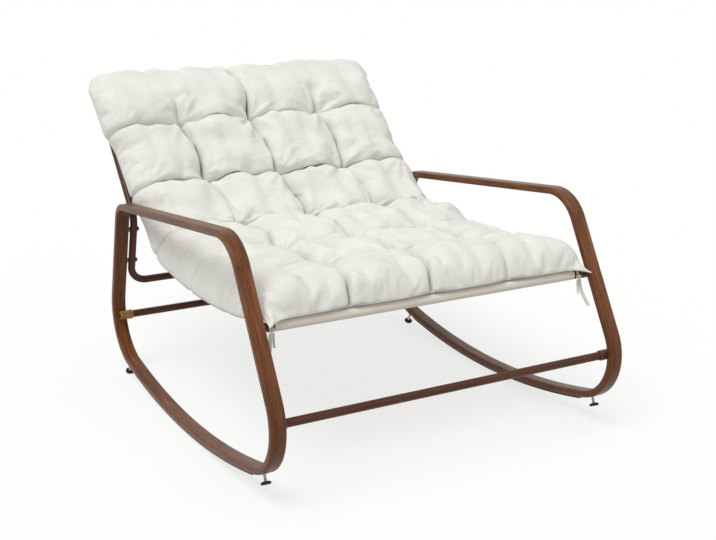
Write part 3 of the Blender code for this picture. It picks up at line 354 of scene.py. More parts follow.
def loft(rings, path_closed=False):
    """Faces through rings of equally many points, with UVs in metres: u along the rings, v round them."""
    count = len(rings[0])
    points = [point for ring in rings for point in ring]
    ahead = [0.0]
    for ring, after in zip(rings, rings[1:] + rings[:1]):
        ahead.append(ahead[-1] + sum((b - a).length for a, b in zip(ring, after)) / count)
    widest = max(rings, key=lambda ring: (ring[0] - ring[count // 2]).length)
    around = [0.0]
    for point, after in zip(widest, widest[1:] + widest[:1]):
        around.append(around[-1] + (after - point).length)
    faces = []
    uvs = []
    for row in range(len(rings) if path_closed else len(rings) - 1):
        here = row * count
        there = (row + 1) % len(rings) * count
        for side in range(count):
            after = (side + 1) % count
            faces.append((here + side, here + after, there + after, there + side))
            corners = ((row, side), (row, side + 1), (row + 1, side + 1), (row + 1, side))
            uvs += [(ahead[u], around[v]) for u, v in corners]
    if not path_closed:
        last = len(points) - count
        faces.append(tuple(range(count))[::-1])
        uvs += [(ahead[0], around[side]) for side in range(count)][::-1]
        faces.append(tuple(range(last, last + count)))
        uvs += [(ahead[-2], around[side]) for side in range(count)]
    return outward(points, faces, uvs)


def outward(points, faces, uvs):
    """The surface with its faces turned out."""
    volume = 0.0
    for face in faces:
        for second, third in zip(face[1:-1], face[2:]):
            volume += points[face[0]].dot(points[second].cross(points[third]))
    if volume > 0:
        return points, faces, uvs
    turned_uvs = []
    start = 0
    for face in faces:
        turned_uvs += uvs[start : start + len(face)][::-1]
        start += len(face)
    return points, [face[::-1] for face in faces], turned_uvs


def moved(surface, matrix):
    points, faces, uvs = surface
    return [matrix @ point for point in points], faces, uvs


def joined(surfaces):
    points = []
    faces = []
    uvs = []
    for more_points, more_faces, more_uvs in surfaces:
        start = len(points)
        points += more_points
        faces += [tuple(start + index for index in face) for face in more_faces]
        uvs += more_uvs
    return points, faces, uvs


def linked(name, data):
    """A new object in the scene."""
    made = bpy.data.objects.new(name, data)
    bpy.context.scene.collection.objects.link(made)
    return made


def make_object(name, surface, finish, sharp=SHARP_ANGLE):
    points, faces, uvs = surface
    mesh = bpy.data.meshes.new(name)
    mesh.from_pydata([tuple(point) for point in points], [], faces)
    layer = mesh.uv_layers.new(name="metres")
    layer.data.foreach_set("uv", [value for uv in uvs for value in uv])
    mesh.shade_smooth()
    mesh.set_sharp_from_angle(angle=math.radians(sharp))
    mesh.materials.append(finish)
    return linked(name, mesh)


def stand_for(piece, node):
    """The piece takes the place and the body of the node."""
    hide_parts(node)
    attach(piece, NODES[node]["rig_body"])


def turned(profile, sides=ROUND_SIDES, bored=False):
    """A solid turned about Z from (radius, height) points. A bored one has a hole through it."""
    rings = []
    for radius, height in profile:
        rings.append([Vector((x, y, height)) for x, y in circle(radius, sides)])
    return loft(rings, path_closed=bored)


def pointing(place, axis):
    """A frame at place whose Z runs along axis."""
    return Matrix.Translation(place) @ axis.to_track_quat("Z", "Y").to_matrix().to_4x4()


def circle(radius, sides):
    angles = [2 * math.pi * side / sides for side in range(sides)]
    return [(radius * math.cos(angle), radius * math.sin(angle)) for angle in angles]


def ring_at(place, first, second, profile):
    return [place + first * a + second * b for a, b in profile]


def carried(stations):
    """Frames along (point, tangent) stations, without twist."""
    frames = []
    across = ACROSS
    for point, tangent in stations:
        across = (across - tangent * across.dot(tangent)).normalized()
        frames.append((point, across, tangent.cross(across)))
    return frames


def swept(stations, profile, path_closed=False):
    return loft([ring_at(*each, profile) for each in carried(stations)], path_closed)


def tangents(before, after):
    return [(end - start).normalized() for start, end in zip(before, after)]


def cut(piece, cutter_surface):
    """Takes the cutter's solids out of the piece's mesh."""
    cutter = make_object("cutter", cutter_surface, piece.data.materials[0])
    boolean = piece.modifiers.new("cut", "BOOLEAN")
    boolean.solver = "EXACT"
    boolean.object = cutter
    bpy.context.view_layer.update()
    result = bpy.data.meshes.new_from_object(piece.evaluated_get(bpy.context.evaluated_depsgraph_get()))
    result.name = piece.name
    piece.modifiers.clear()
    piece.data = result
    bpy.data.objects.remove(cutter)


# Finishes


class Finish:
    """A material with one Principled shader. Its methods add a node and return the output socket."""

    def __init__(self, name, constants):
        self.material = bpy.data.materials.new(name)
        self.material.use_nodes = True
        self.tree = self.material.node_tree
        self.shader = self.tree.nodes["Principled BSDF"]
        for socket, value in constants.items():
            self.feed(self.shader.inputs[socket], value)

    def feed(self, socket, value):
        if isinstance(value, bpy.types.NodeSocket):
            self.tree.links.new(value, socket)
        else:
            socket.default_value = value

    def add(self, kind, inputs, output, **settings):
        node = self.tree.nodes.new(kind)
        for name, value in settings.items():
            setattr(node, name, value)
        for key, value in inputs.items():
            self.feed(node.inputs[key], value)
        return node.outputs[output]

    def uv(self):
        return self.add("ShaderNodeTexCoord", {}, "UV")

    def place(self):
        return self.add("ShaderNodeTexCoord", {}, "Object")

    def attribute(self, name):
        return self.add("ShaderNodeAttribute", {}, "Fac", attribute_name=name)

    def noise(self, vector, scale, detail, roughness):
        """Noise over a vector that is scaled along each axis first."""
        scaled = self.add("ShaderNodeMapping", {"Vector": vector, "Scale": scale}, "Vector")
        values = {"Vector": scaled, "Scale": 1.0, "Detail": detail, "Roughness": roughness}
        return self.add("ShaderNodeTexNoise", values, "Fac")

    def part(self, vector, axis):
        return self.add("ShaderNodeSeparateXYZ", {0: vector}, axis)

    def maths(self, operation, first, second=0.0, third=0.0):
        values = {0: first, 1: second, 2: third}
        return self.add("ShaderNodeMath", values, 0, operation=operation)

    def spread(self, value, low, high):
        """A value from 0 to 1 set between low and high."""
        return self.maths("MULTIPLY_ADD", value, high - low, low)

    def ramp(self, factor, stops):
        node = self.tree.nodes.new("ShaderNodeValToRGB")
        self.feed(node.inputs[0], factor)
        elements = node.color_ramp.elements
        while len(elements) < len(stops):
            elements.new(1.0)
        for element, (position, colour) in zip(elements, stops):
            element.position = position
            element.color = (*colour, 1.0)
        return node.outputs["Color"]

    def mix(self, factor, first, second):
        values = {0: factor, 6: first, 7: second}
        return self.add("ShaderNodeMix", values, 2, data_type="RGBA")

    def bump(self, height, distance, strength, under=None):
        values = {"Height": height, "Distance": distance, "Strength": strength}
        if under is not None:
            values["Normal"] = under
        return self.add("ShaderNodeBump", values, "Normal")

    def done(self, colour, roughness, normal):
        for name, value in (("Base Color", colour), ("Roughness", roughness), ("Normal", normal)):
            self.feed(self.shader.inputs[name], value)
        return self.material


def wood_finish(name, dark, middle, light):
    """Printed wood grain along a painted tube, with open pores and a satin lacquer."""
    finish = Finish(name, {"Specular IOR Level": 0.22, "Coat Weight": 0.10, "Coat Roughness": 0.20})
    uv = finish.uv()
    figure = finish.noise(uv, (9.0, 330.0, 1.0), 5.0, 0.66)
    pores = finish.noise(uv, (34.0, 1500.0, 1.0), 3.0, 0.70)
    clouds = finish.noise(uv, (3.0, 22.0, 1.0), 3.0, 0.55)
    tone = finish.maths("MULTIPLY_ADD", figure, 0.50, finish.maths("MULTIPLY", pores, 0.24))
    tone = finish.maths("MULTIPLY_ADD", clouds, 0.26, tone)
    colour = finish.ramp(tone, [(0.38, dark), (0.50, middle), (0.63, light)])
    normal = finish.bump(pores, 0.00012, 0.5)
    return finish.done(colour, finish.spread(pores, 0.30, 0.52), normal)


def metal_finish(name, dark, light, metallic, roughness, grain):
    """Plated or painted metal with fine uneven gloss."""
    finish = Finish(name, {"Metallic": metallic})
    clouds = finish.noise(finish.place(), (grain, grain, grain), 5.0, 0.6)
    colour = finish.ramp(clouds, [(0.35, dark), (0.65, light)])
    normal = finish.bump(clouds, 0.00008, 0.4)
    rough = finish.spread(clouds, roughness - 0.08, roughness + 0.10)
    return finish.done(colour, rough, normal)


def rubber_finish(name, dark, light, roughness):
    """Moulded black rubber or plastic, with dust in its pores."""
    finish = Finish(name, {"Specular IOR Level": 0.35})
    grain = finish.noise(finish.place(), (900.0, 900.0, 900.0), 3.0, 0.6)
    dust = finish.noise(finish.place(), (30.0, 30.0, 30.0), 4.0, 0.6)
    colour = finish.ramp(dust, [(0.40, dark), (0.75, light)])
    normal = finish.bump(grain, 0.0001, 0.5)
    rough = finish.spread(dust, roughness - 0.08, roughness + 0.10)
    return finish.done(colour, rough, normal)


def weave(finish, uv, pitch):
    """Height of a plain weave of that pitch, from 0 to 1."""
    turns = math.pi / pitch
    warp = finish.maths("SINE", finish.maths("MULTIPLY", finish.part(uv, "X"), turns))
    weft = finish.maths("SINE", finish.maths("MULTIPLY", finish.part(uv, "Y"), turns))
    crossing = finish.maths("MULTIPLY", warp, weft)
    return finish.spread(crossing, 0.5, 1.0)


def sling_finish(length):
    """Woven outdoor mesh in beige and cream yarns, with a row of stitches along each hem."""
    finish = Finish("sling_weave", {"Specular IOR Level": 0.25, "Sheen Weight": 0.08})
    uv = finish.uv()
    threads = weave(finish, uv, SLING_PITCH)
    yarn = finish.noise(uv, (330.0, 14.0, 1.0), 3.0, 0.6)
    tone = finish.maths("MULTIPLY_ADD", threads, 0.55, finish.maths("MULTIPLY", yarn, 0.45))
    stops = [(0.28, (0.62, 0.57, 0.48)), (0.50, (0.85, 0.80, 0.71)), (0.75, (0.90, 0.86, 0.78))]
    colour = finish.ramp(tone, stops)
    reach = finish.part(uv, "X")
    hem = finish.maths("MINIMUM", reach, finish.maths("SUBTRACT", length, reach))
    row = finish.maths("COMPARE", hem, STITCH_INSET, STITCH_WIDTH / 2)
    pace = finish.maths("FRACT", finish.maths("DIVIDE", finish.part(uv, "Y"), STITCH_PACE))
    stitch = finish.maths("MULTIPLY", row, finish.maths("LESS_THAN", pace, STITCH_SHARE))
    colour = finish.mix(stitch, colour, STITCH_COLOUR)
    normal = finish.bump(threads, 0.0005, 0.6)
    normal = finish.bump(stitch, 0.0006, 0.8, normal)
    return finish.done(colour, finish.spread(threads, 0.90, 0.70), normal)


def cushion_finish():
    """Cream canvas with a fine weave and slubs, with painted shade as a dark line in its folds and along its
    seam.
    """
    constants = {"Specular IOR Level": 0.22, "Sheen Weight": 0.10, "Sheen Roughness": 0.5}
    finish = Finish("cushion_canvas", constants)
    uv = finish.uv()
    threads = weave(finish, uv, CANVAS_PITCH)
    slubs = finish.noise(uv, (60.0, 900.0, 1.0), 3.0, 0.6)
    clouds = finish.noise(finish.place(), (9.0, 9.0, 9.0), 4.0, 0.55)
    crumple = finish.noise(finish.place(), (55.0, 55.0, 55.0), 4.0, 0.55)
    plain = finish.ramp(clouds, [(0.30, (0.770, 0.765, 0.705)), (0.70, (0.830, 0.828, 0.775))])
    # Painted shade: a dark canvas colour laid along the folds' lines by the fold attribute.
    shade = finish.ramp(clouds, [(0.30, (0.250, 0.235, 0.190)), (0.70, (0.330, 0.315, 0.265))])
    colour = finish.mix(finish.maths("POWER", finish.attribute("fold"), 1.6), plain, shade)
    normal = finish.bump(crumple, 0.0016, 0.35)
    normal = finish.bump(slubs, 0.0002, 0.35, normal)
    normal = finish.bump(threads, 0.0002, 0.35, normal)
    return finish.done(colour, finish.spread(slubs, 0.80, 0.95), normal)


def tie_finish():
    """Cream cotton tape with a ribbed weave."""
    finish = Finish("tie_tape", {"Specular IOR Level": 0.22, "Sheen Weight": 0.12})
    ribs = finish.noise(finish.uv(), (900.0, 350.0, 1.0), 3.0, 0.6)
    colour = finish.ramp(ribs, [(0.30, (0.56, 0.53, 0.46)), (0.70, (0.76, 0.73, 0.66))])
    normal = finish.bump(ribs, 0.0003, 0.6)
    return finish.done(colour, finish.spread(ribs, 0.80, 0.95), normal)


WOOD = wood_finish("wood_grain", (0.042, 0.011, 0.003), (0.130, 0.040, 0.010), (0.300, 0.110, 0.034))
RED_WOOD = wood_finish("red_wood_grain", (0.030, 0.009, 0.004), (0.078, 0.024, 0.011), (0.165, 0.056, 0.027))
BRONZE = metal_finish("bronze_paint", (0.190, 0.085, 0.022), (0.420, 0.230, 0.070), 0.35, 0.38, 260.0)
BROWN = metal_finish("brown_paint", (0.060, 0.024, 0.015), (0.120, 0.048, 0.028), 0.0, 0.40, 260.0)
BLACK_STEEL = metal_finish("black_steel", (0.010, 0.010, 0.010), (0.030, 0.028, 0.026), 0.5, 0.42, 700.0)
ZINC = metal_finish("zinc_steel", (0.420, 0.425, 0.430), (0.640, 0.645, 0.650), 1.0, 0.30, 500.0)
RUBBER = rubber_finish("rubber", (0.008, 0.008, 0.008), (0.022, 0.021, 0.020), 0.72)
PLASTIC = rubber_finish("black_plastic", (0.012, 0.012, 0.012), (0.026, 0.025, 0.024), 0.55)
CANVAS = cushion_finish()
TAPE = tie_finish()


# Camera, light and floor


def make_camera():
    ahead = Vector((
        math.sin(CAMERA_YAW) * math.cos(CAMERA_PITCH),
        math.cos(CAMERA_YAW) * math.cos(CAMERA_PITCH),
        -math.sin(CAMERA_PITCH),
    ))
    level = Vector((math.cos(CAMERA_YAW), -math.sin(CAMERA_YAW), 0.0))
    above = level.cross(ahead)
    right = level * math.cos(CAMERA_ROLL) + above * math.sin(CAMERA_ROLL)
    up = above * math.cos(CAMERA_ROLL) - level * math.sin(CAMERA_ROLL)
    camera = linked("camera", bpy.data.cameras.new("camera"))
    camera.data.lens = CAMERA_LENS
    turn = Matrix((right, up, -ahead)).transposed().to_4x4()
    camera.matrix_world = Matrix.Translation(CAMERA_PLACE) @ turn
    bpy.context.scene.camera = camera


def make_sun(name, energy, source):
    lamp = bpy.data.lights.new(name, "SUN")
    lamp.energy = energy
    lamp.angle = LIGHT_SOFTNESS
    sun = linked(name, lamp)
    sun.rotation_mode = "QUATERNION"
    sun.rotation_quaternion = source.to_track_quat("Z", "Y")


def seen_directly(tree):
    """1 for rays from the camera and for reflected and refracted ones, 0 for the light thrown on things."""
    path = tree.nodes.new("ShaderNodeLightPath")
    seen = path.outputs["Is Camera Ray"]
    for ray in ("Is Glossy Ray", "Is Transmission Ray"):
        either = tree.nodes.new("ShaderNodeMath")
        either.operation = "MAXIMUM"
        tree.links.new(seen, either.inputs[0])
        tree.links.new(path.outputs[ray], either.inputs[1])
        seen = either.outputs[0]
    return seen


def shader(tree, kind, colour=WHITE):
    """Output of a new shader of that colour."""
    node = tree.nodes.new(kind)
    node.inputs["Color"].default_value = colour
    return node.outputs[0]


def mixed(tree, first, second, share=None):
    """A mix of two shaders by a constant share, or the second for direct rays and the first for the rest."""
    mix = tree.nodes.new("ShaderNodeMixShader")
    if share is None:
        tree.links.new(seen_directly(tree), mix.inputs[0])
    else:
        mix.inputs[0].default_value = share
    tree.links.new(first, mix.inputs[1])
    tree.links.new(second, mix.inputs[2])
    return mix.outputs[0]


def make_world():
    """A soft even light that looks white to the camera and in reflections."""
    world = bpy.data.worlds.new("studio")
    world.use_nodes = True
    tree = world.node_tree
    light = tree.nodes["Background"]
    light.inputs["Color"].default_value = LIGHT_COLOUR
    light.inputs["Strength"].default_value = WORLD_LIGHT
    both = mixed(tree, light.outputs[0], shader(tree, "ShaderNodeBackground"))
    tree.links.new(both, tree.nodes["World Output"].inputs["Surface"])
    bpy.context.scene.world = world


def make_floor():
    """A pale floor that takes the shadow and looks nearly white to the camera and in reflections."""
    floor = bpy.data.materials.new("floor")
    floor.use_nodes = True
    tree = floor.node_tree
    tree.nodes.clear()
    ground = shader(tree, "ShaderNodeBsdfDiffuse", FLOOR_COLOUR)
    bounce = shader(tree, "ShaderNodeBsdfDiffuse", FLOOR_BOUNCE)
    pale = mixed(tree, ground, shader(tree, "ShaderNodeEmission"), FLOOR_GLOW)
    both = mixed(tree, bounce, pale)
    output = tree.nodes.new("ShaderNodeOutputMaterial")
    tree.links.new(both, output.inputs["Surface"])
    corners = [(FLOOR_REACH * x, FLOOR_REACH * y, 0.0) for x, y in ((-1, -1), (1, -1), (1, 1), (-1, 1))]
    mesh = bpy.data.meshes.new("floor")
    mesh.from_pydata(corners, [], [(0, 1, 2, 3)])
    mesh.materials.append(floor)
    linked("floor", mesh)


# Ties


def make_ties():
    """A taped knot round each bare end of the seat bar, with two tails that hang from it."""
    seat = axis_of("seat_bar")
    for hand, side in SIDES:
        x = frame_plane(hand) - side * TIE_INSET
        middle = in_plane(x, seat + direction(TIE_KNOT_ANGLE) * (TIE_OUTER + TIE_KNOT_STAND))
        make_knot(hand, x, seat, middle)
        for kind, length, out, ahead, way, width in TIE_TAILS:
            start = middle + Vector((side * way * TIE_CORD_SPREAD, 0.0, -TIE_KNOT_RADIUS - PIECE_GAP))
            make_tail(f"{hand}_tie_{kind}_tail", start, side * out, -ahead * TIE_SWING[hand], length, width)


def make_knot(hand, x, seat, middle):
    """Two wraps side by side round the bar and a knotted cord in front of them."""
    half = TIE_OUTER - BAR_RADIUS - 2 * PIECE_GAP
    flat = [(a, b / 2) for a, b in circle(half, TIE_CORD_SIDES)]
    pieces = []
    for offset in (-half - PIECE_GAP / 2, half + PIECE_GAP / 2):
        rings = []
        for step in range(ROUND_SIDES):
            ray = direction(360 * step / ROUND_SIDES)
            point = in_plane(x + offset, seat + ray * (BAR_RADIUS + PIECE_GAP + half / 2))
            rings.append(ring_at(point, ACROSS, in_plane(0.0, ray), flat))
        pieces.append(loft(rings, path_closed=True))
    route = []
    for step in range(TIE_KNOT_STEPS):
        angle = 2 * math.pi * step / TIE_KNOT_STEPS
        a = (math.sin(angle) + 2 * math.sin(2 * angle)) / 3
        b = (math.cos(angle) - 2 * math.cos(2 * angle)) / 3
        c = -math.sin(3 * angle) * TIE_KNOT_DEPTH
        route.append(middle + Vector((a, c, b)) * (TIE_KNOT_RADIUS - TIE_CORD_RADIUS))
    stations = zip(route, tangents(route[-1:] + route, route[1:] + route[:1]))
    pieces.append(swept(stations, circle(TIE_CORD_RADIUS, TIE_CORD_SIDES), path_closed=True))
    stand_for(make_object(f"{hand}_knotted_tie", joined(pieces), TAPE), f"{hand}_tie_knot")


def make_tail(node, start, out, ahead, length, width):
    """A tail of that length that leaves its knot straight down and swings away."""
    shares = [step / TIE_STEPS for step in range(TIE_STEPS + 1)]
    drop = length
    for _ in range(FITTING_ROUNDS):
        route = [start + Vector((out * share**2, ahead * share**2, -drop * share)) for share in shares]
        drop *= length / sum((after - place).length for place, after in zip(route, route[1:]))
    stations = zip(route, tangents(route[:1] + route, route[1:] + route[-1:]))
    tape = [(x * width / 2, y * TIE_THICKNESS / 2) for x, y in circle(1.0, TIE_TAPE_SIDES)]
    rings = []
    for share, (place, first, second) in zip(shares, carried(stations)):
        turn = math.radians(TIE_TWIST) * share
        wide = first * math.cos(turn) + second * math.sin(turn)
        thick = second * math.cos(turn) - first * math.sin(turn)
        rings.append(ring_at(place, wide, thick, tape))
    tail = make_object(f"{node}_tape", loft(rings), TAPE)
    stand_for(tail, node)


# Side frames


def bend_between(corner, inward, onward, radius):
    """Centre of the round bend between two lines that cross at a corner."""
    back = -inward
    half = back.angle(onward) / 2
    return corner + (back + onward).normalized() * radius / math.sin(half)


def bend_on_rocker(foot, line, radius, centre):
    """Centre of the bend that joins a straight leg to the rocker's arc from inside."""
    side = left_of(line)
    if side.dot(Vector((CONTACT_Y, centre.y / 2)) - foot) < 0:
        side = -side
    start = foot + side * radius
    offset = start - centre
    ahead = offset.dot(line)
    reach = math.sqrt(ahead**2 - offset.length_squared + (ROCKER_RADIUS - radius) ** 2)
    ends = [start + line * (-ahead + sign * reach) for sign in (-1, 1)]
    return min(ends, key=lambda end: end.y)


def outward_angle(vector):
    return math.degrees(math.atan2(vector.y, vector.x))


def side_loop():
    """The loop's five bends in order: centre, radius, first and last outward angle."""
    centre = Vector((CONTACT_Y, ROCKER_BASE + TUBE_DEPTH / 2 + ROCKER_RADIUS))
    leg = direction(90 - FRONT_LEG_LEAN)
    arm = direction(-ARM_FALL)
    post = direction(REAR_POST_LEAN - 90)
    front_foot = Vector((CONTACT_Y + FRONT_LEG_FOOT, ROCKER_BASE))
    rear_foot = Vector((CONTACT_Y + REAR_POST_FOOT, ROCKER_BASE))
    front_corner = front_foot + leg * (ARM_CORNER_HEIGHT - ROCKER_BASE) / leg.y
    run = (rear_foot - front_corner).dot(left_of(post)) / arm.dot(left_of(post))
    rear_corner = front_corner + arm * run
    rear_bottom = bend_on_rocker(rear_foot, post, REAR_BOTTOM_BEND, centre)
    front_bottom = bend_on_rocker(front_foot, leg, FRONT_BOTTOM_BEND, centre)
    front_top = bend_between(front_corner, leg, arm, FRONT_TOP_BEND)
    rear_top = bend_between(rear_corner, arm, post, REAR_TOP_BEND)
    leg_out = 180 - FRONT_LEG_LEAN
    arm_out = 90 - ARM_FALL
    rear_out = outward_angle(rear_bottom - centre)
    front_out = outward_angle(front_bottom - centre)
    return {
        "front_top": (front_top, FRONT_TOP_BEND, leg_out, arm_out),
        "rear_top": (rear_top, REAR_TOP_BEND, arm_out, REAR_POST_LEAN),
        "rear": (rear_bottom, REAR_BOTTOM_BEND, REAR_POST_LEAN, rear_out),
        "rocker": (centre, ROCKER_RADIUS, rear_out, front_out),
        "front": (front_bottom, FRONT_BOTTOM_BEND, front_out, leg_out - 360),
    }


def tube_profile():
    profile = []
    for quarter, (right, up) in enumerate(((1, 1), (-1, 1), (-1, -1), (1, -1))):
        middle = Vector((right * (TUBE_WIDTH / 2 - TUBE_CORNER), up * (TUBE_DEPTH / 2 - TUBE_CORNER)))
        for step in range(CORNER_STEPS + 1):
            profile.append(tuple(middle + direction(90 * (quarter + step / CORNER_STEPS)) * TUBE_CORNER))
    return profile


def glide_line(end):
    """Point on the tube's centre line and downward axis of a glide."""
    centre, radius, _, _ = side_loop()[end]
    axis = direction(GLIDE_TILT[end] - 90)
    return centre + axis * radius, axis


def post_at(height):
    """Point of the rear post's line at a height."""
    post = direction(REAR_POST_LEAN - 90)
    return Vector((CONTACT_Y + REAR_POST_FOOT, ROCKER_BASE)) + post * (height - ROCKER_BASE) / post.y


def make_side_frames():
    """A bent tube with its grain along it, with holes for glides and back bolts, on each side."""
    for hand, side in SIDES:
        x = frame_plane(hand)
        rings = []
        for name, (centre, radius, first, last) in side_loop().items():
            steps = math.ceil(abs(last - first) / (ROCKER_STEP if name == "rocker" else BEND_STEP))
            for index in range(steps + 1):
                normal = direction(first + (last - first) * index / steps)
                place = in_plane(x, centre + normal * radius)
                if not rings or (place - latest).length > TUBE_CORNER / 2:
                    rings.append(ring_at(place, ACROSS, in_plane(0.0, normal), tube_profile()))
                    latest = place
        tube = make_object(f"{hand}_loop", loft(rings, path_closed=True), WOOD, TUBE_SHARP_ANGLE)
        holes = []
        for end in GLIDE_TILT:
            place, axis = glide_line(end)
            holes.append((place, in_plane(0.0, axis), TUBE_DEPTH))
        for level in ("upper", "lower"):
            holes.append((axis_of(f"back_{level}_{hand}_bolt"), -side * ACROSS, TUBE_WIDTH))
        cutters = []
        for place, axis, depth in holes:
            hole = turned([(HOLE_RADIUS, 0.0), (HOLE_RADIUS, depth)], HOLE_SIDES)
            cutters.append(moved(hole, pointing(in_plane(x, place), axis)))
        cut(tube, joined(cutters))
        stand_for(tube, f"{hand}_side_frame")


# Glides


def thread_rings(low, high):
    """Rings of a threaded rod along Z."""
    rings = []
    steps = math.ceil((high - low) / (THREAD_PITCH / THREAD_STEPS))
    for step in range(steps + 1):
        height = low + (high - low) * step / steps
        ends = min(1.0, (height - low) / THREAD_PITCH)
        ring = []
        for side in range(THREAD_SIDES):
            share = (height / THREAD_PITCH - side / THREAD_SIDES) % 1.0
            depth = THREAD_DEPTH * (1 - abs(2 * share - 1)) * ends + THREAD_DEPTH * (1 - ends)
            angle = 2 * math.pi * side / THREAD_SIDES
            radius = STEM_RADIUS - depth
            ring.append(Vector((radius * math.cos(angle), radius * math.sin(angle), height)))
        rings.append(ring)
    return rings


def make_glides():
    """A threaded stem, a moulded pad on its end and a flanged nut in the tube, at each rocker's end."""
    bore = STEM_RADIUS + PIECE_GAP
    under = TUBE_DEPTH / 2 + PIECE_GAP
    flange = under + INSERT_FLANGE
    nut = turned([
        (bore, under - INSERT_LENGTH),
        (HOLE_RADIUS - PIECE_GAP, under - INSERT_LENGTH),
        (HOLE_RADIUS - PIECE_GAP, under),
        (INSERT_FLANGE_RADIUS, under),
        (INSERT_FLANGE_RADIUS, flange - INSERT_BEVEL),
        (INSERT_FLANGE_RADIUS - INSERT_FLANGE / 2, flange),
        (bore, flange),
    ], bored=True)
    for end in GLIDE_TILT:
        place, axis = glide_line(end)
        for hand, _ in SIDES:
            name = f"{end}_{hand}_glide"
            seat = pointing(in_plane(frame_plane(hand), place), in_plane(0.0, axis))
            lowest = max((seat.inverted() @ vertex.co).z for vertex in NODES[f"{name}_pad"].data.vertices)
            pad_top = lowest - PAD_HEIGHT
            stem = loft(thread_rings(under - STEM_INSIDE, pad_top + PAD_SOCKET - PIECE_GAP))
            pad = turned([
                (bore, pad_top + PAD_SOCKET),
                (bore, pad_top - PAD_RIM / 2),
                (NECK_RADII[0], pad_top - PAD_RIM / 2),
                (NECK_RADII[1], pad_top),
                (PAD_RADIUS - 2 * PAD_RIM, pad_top + PAD_RIM / 2),
                (PAD_RADIUS - PAD_RIM / 2, pad_top + PAD_RIM),
                (PAD_RADIUS, pad_top + 2 * PAD_RIM),
                (PAD_RADIUS, lowest - PAD_RIM),
                (PAD_RADIUS - PAD_RIM / 4, lowest - PAD_RIM / 3),
                (PAD_RADIUS - PAD_BEVEL, lowest),
                (PAD_RADIUS - 2 * PAD_RIM, lowest),
                (PAD_RADIUS - PAD_HOLLOW, lowest - PAD_RIM / 2),
            ])
            stand_for(make_object(f"{name}_screw", moved(stem, seat), ZINC), f"{name}_stem")
            stand_for(make_object(f"{name}_foot", moved(pad, seat), RUBBER), f"{name}_pad")
            stand_for(make_object(f"{name}_nut", moved(nut, seat), ZINC), f"{name}_insert")


# Bars and sockets


def make_bars():
    """Hollow round bars with bevelled ends and a bored end plate for each bolt."""
    for name in ("seat_bar", "front_crossbar", "rear_crossbar", "top_bar"):
        low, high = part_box(name)
        half = (high.x - low.x) / 2
        end = [(BAR_BORE, half - BAR_PLATE), (SOCKET_HOLE, half - BAR_PLATE), (SOCKET_HOLE, half)]
        end += [(BAR_RADIUS - BAR_BEVEL, half), (BAR_RADIUS, half - BAR_BEVEL)]
        profile = end + [(radius, -height) for radius, height in end[::-1]]
        place = pointing(in_plane((low.x + high.x) / 2, axis_of(name)), ACROSS)
        bar = make_object(f"{name}_tube", moved(turned(profile, bored=True), place), RED_WOOD)
        stand_for(bar, name)


def make_fasteners():
    """Finishes for the rocker strips and the small pieces, and rounded edges on the bolts."""
    finishes = {"strip": RUBBER, "bolt": BLACK_STEEL, "insert": ZINC, "spacer": PLASTIC, "plug": PLASTIC}
    for name, node in NODES.items():
        ending = name.split("_")[-1]
        if ending in finishes:
            node.data.materials[0] = finishes[ending]
        if ending == "bolt":
            edges = node.modifiers.new("edges", "BEVEL")
            edges.width = BOLT_BEVEL
            edges.segments = 2
            edges.angle_limit = BOLT_BEVEL_ANGLE


def make_sockets():
    """A grooved collar round each end of the three bars."""
    for bar, finish in (("seat_bar", BROWN), ("front_crossbar", BROWN), ("rear_crossbar", BRONZE)):
        for hand, side in SIDES:
            node = f"{bar}_{hand}_socket"
            low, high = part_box(node)
            length = high.x - low.x
            shallow = SOCKET_RADIUS - SOCKET_GROOVE
            profile = [(SOCKET_HOLE, 0.0), (shallow, 0.0), (SOCKET_RADIUS, SOCKET_GROOVE)]
            for start in SOCKET_GROOVES:
                end = start + SOCKET_GROOVE_WIDTH
                inset = SOCKET_GROOVE / 2
                profile += [(SOCKET_RADIUS, start), (shallow, start + inset)]
                profile += [(shallow, end - inset), (SOCKET_RADIUS, end)]
            profile += [(SOCKET_RADIUS, length - SOCKET_GROOVE), (shallow, length)]
            bore = BAR_RADIUS + PIECE_GAP
            profile += [(bore, length), (bore, SOCKET_FLOOR), (SOCKET_HOLE, SOCKET_FLOOR)]
            place = in_plane(low.x if side < 0 else high.x, axis_of(bar))
            collar = moved(turned(profile, bored=True), pointing(place, -side * ACROSS))
            stand_for(make_object(f"{bar}_{hand}_collar", collar, finish), node)


# Back frame


def filleted(corners):
    """(point, tangent) stations along corners of (point, bend radius), round at each bend."""
    stations = []
    for index, (point, radius) in enumerate(corners):
        if radius == 0.0:
            near = corners[index - 1][0] if index else corners[1][0]
            tangent = (point - near if index else near - point).normalized()
            stations.append((point, tangent))
            continue
        back = (corners[index - 1][0] - point).normalized()
        onward = (corners[index + 1][0] - point).normalized()
        half = back.angle(onward) / 2
        centre = bend_between(point, -back, onward, radius)
        start = point + back * radius / math.tan(half)
        pole = (-back).cross(onward).normalized()
        turn = math.pi - 2 * half
        steps = math.ceil(math.degrees(turn) / BEND_STEP)
        for bend_step in range(steps + 1):
            spin = Matrix.Rotation(turn * bend_step / steps, 3, pole)
            stations.append((centre + spin @ (start - centre), spin @ -back))
    return stations


def make_back_frame():
    """One round tube bent to a U: two reclined uprights and a low bar."""
    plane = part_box("back_frame")[1].x - BACK_TUBE_RADIUS
    knee = post_at(BACK_KNEE_HEIGHT)
    top = knee + direction(90 - BACK_RECLINE) * BACK_UPRIGHT
    half_path = [(top, 0.0), (knee, BACK_KNEE_BEND), (post_at(BACK_BASE_HEIGHT), BACK_BASE_BEND)]
    corners = [(in_plane(-plane, point), radius) for point, radius in half_path]
    corners += [(in_plane(plane, point), radius) for point, radius in reversed(half_path)]
    tube = swept(filleted(corners), circle(BACK_TUBE_RADIUS, BACK_TUBE_SIDES))
    stand_for(make_object("back_tube", tube, RED_WOOD), "back_frame")


# Sling


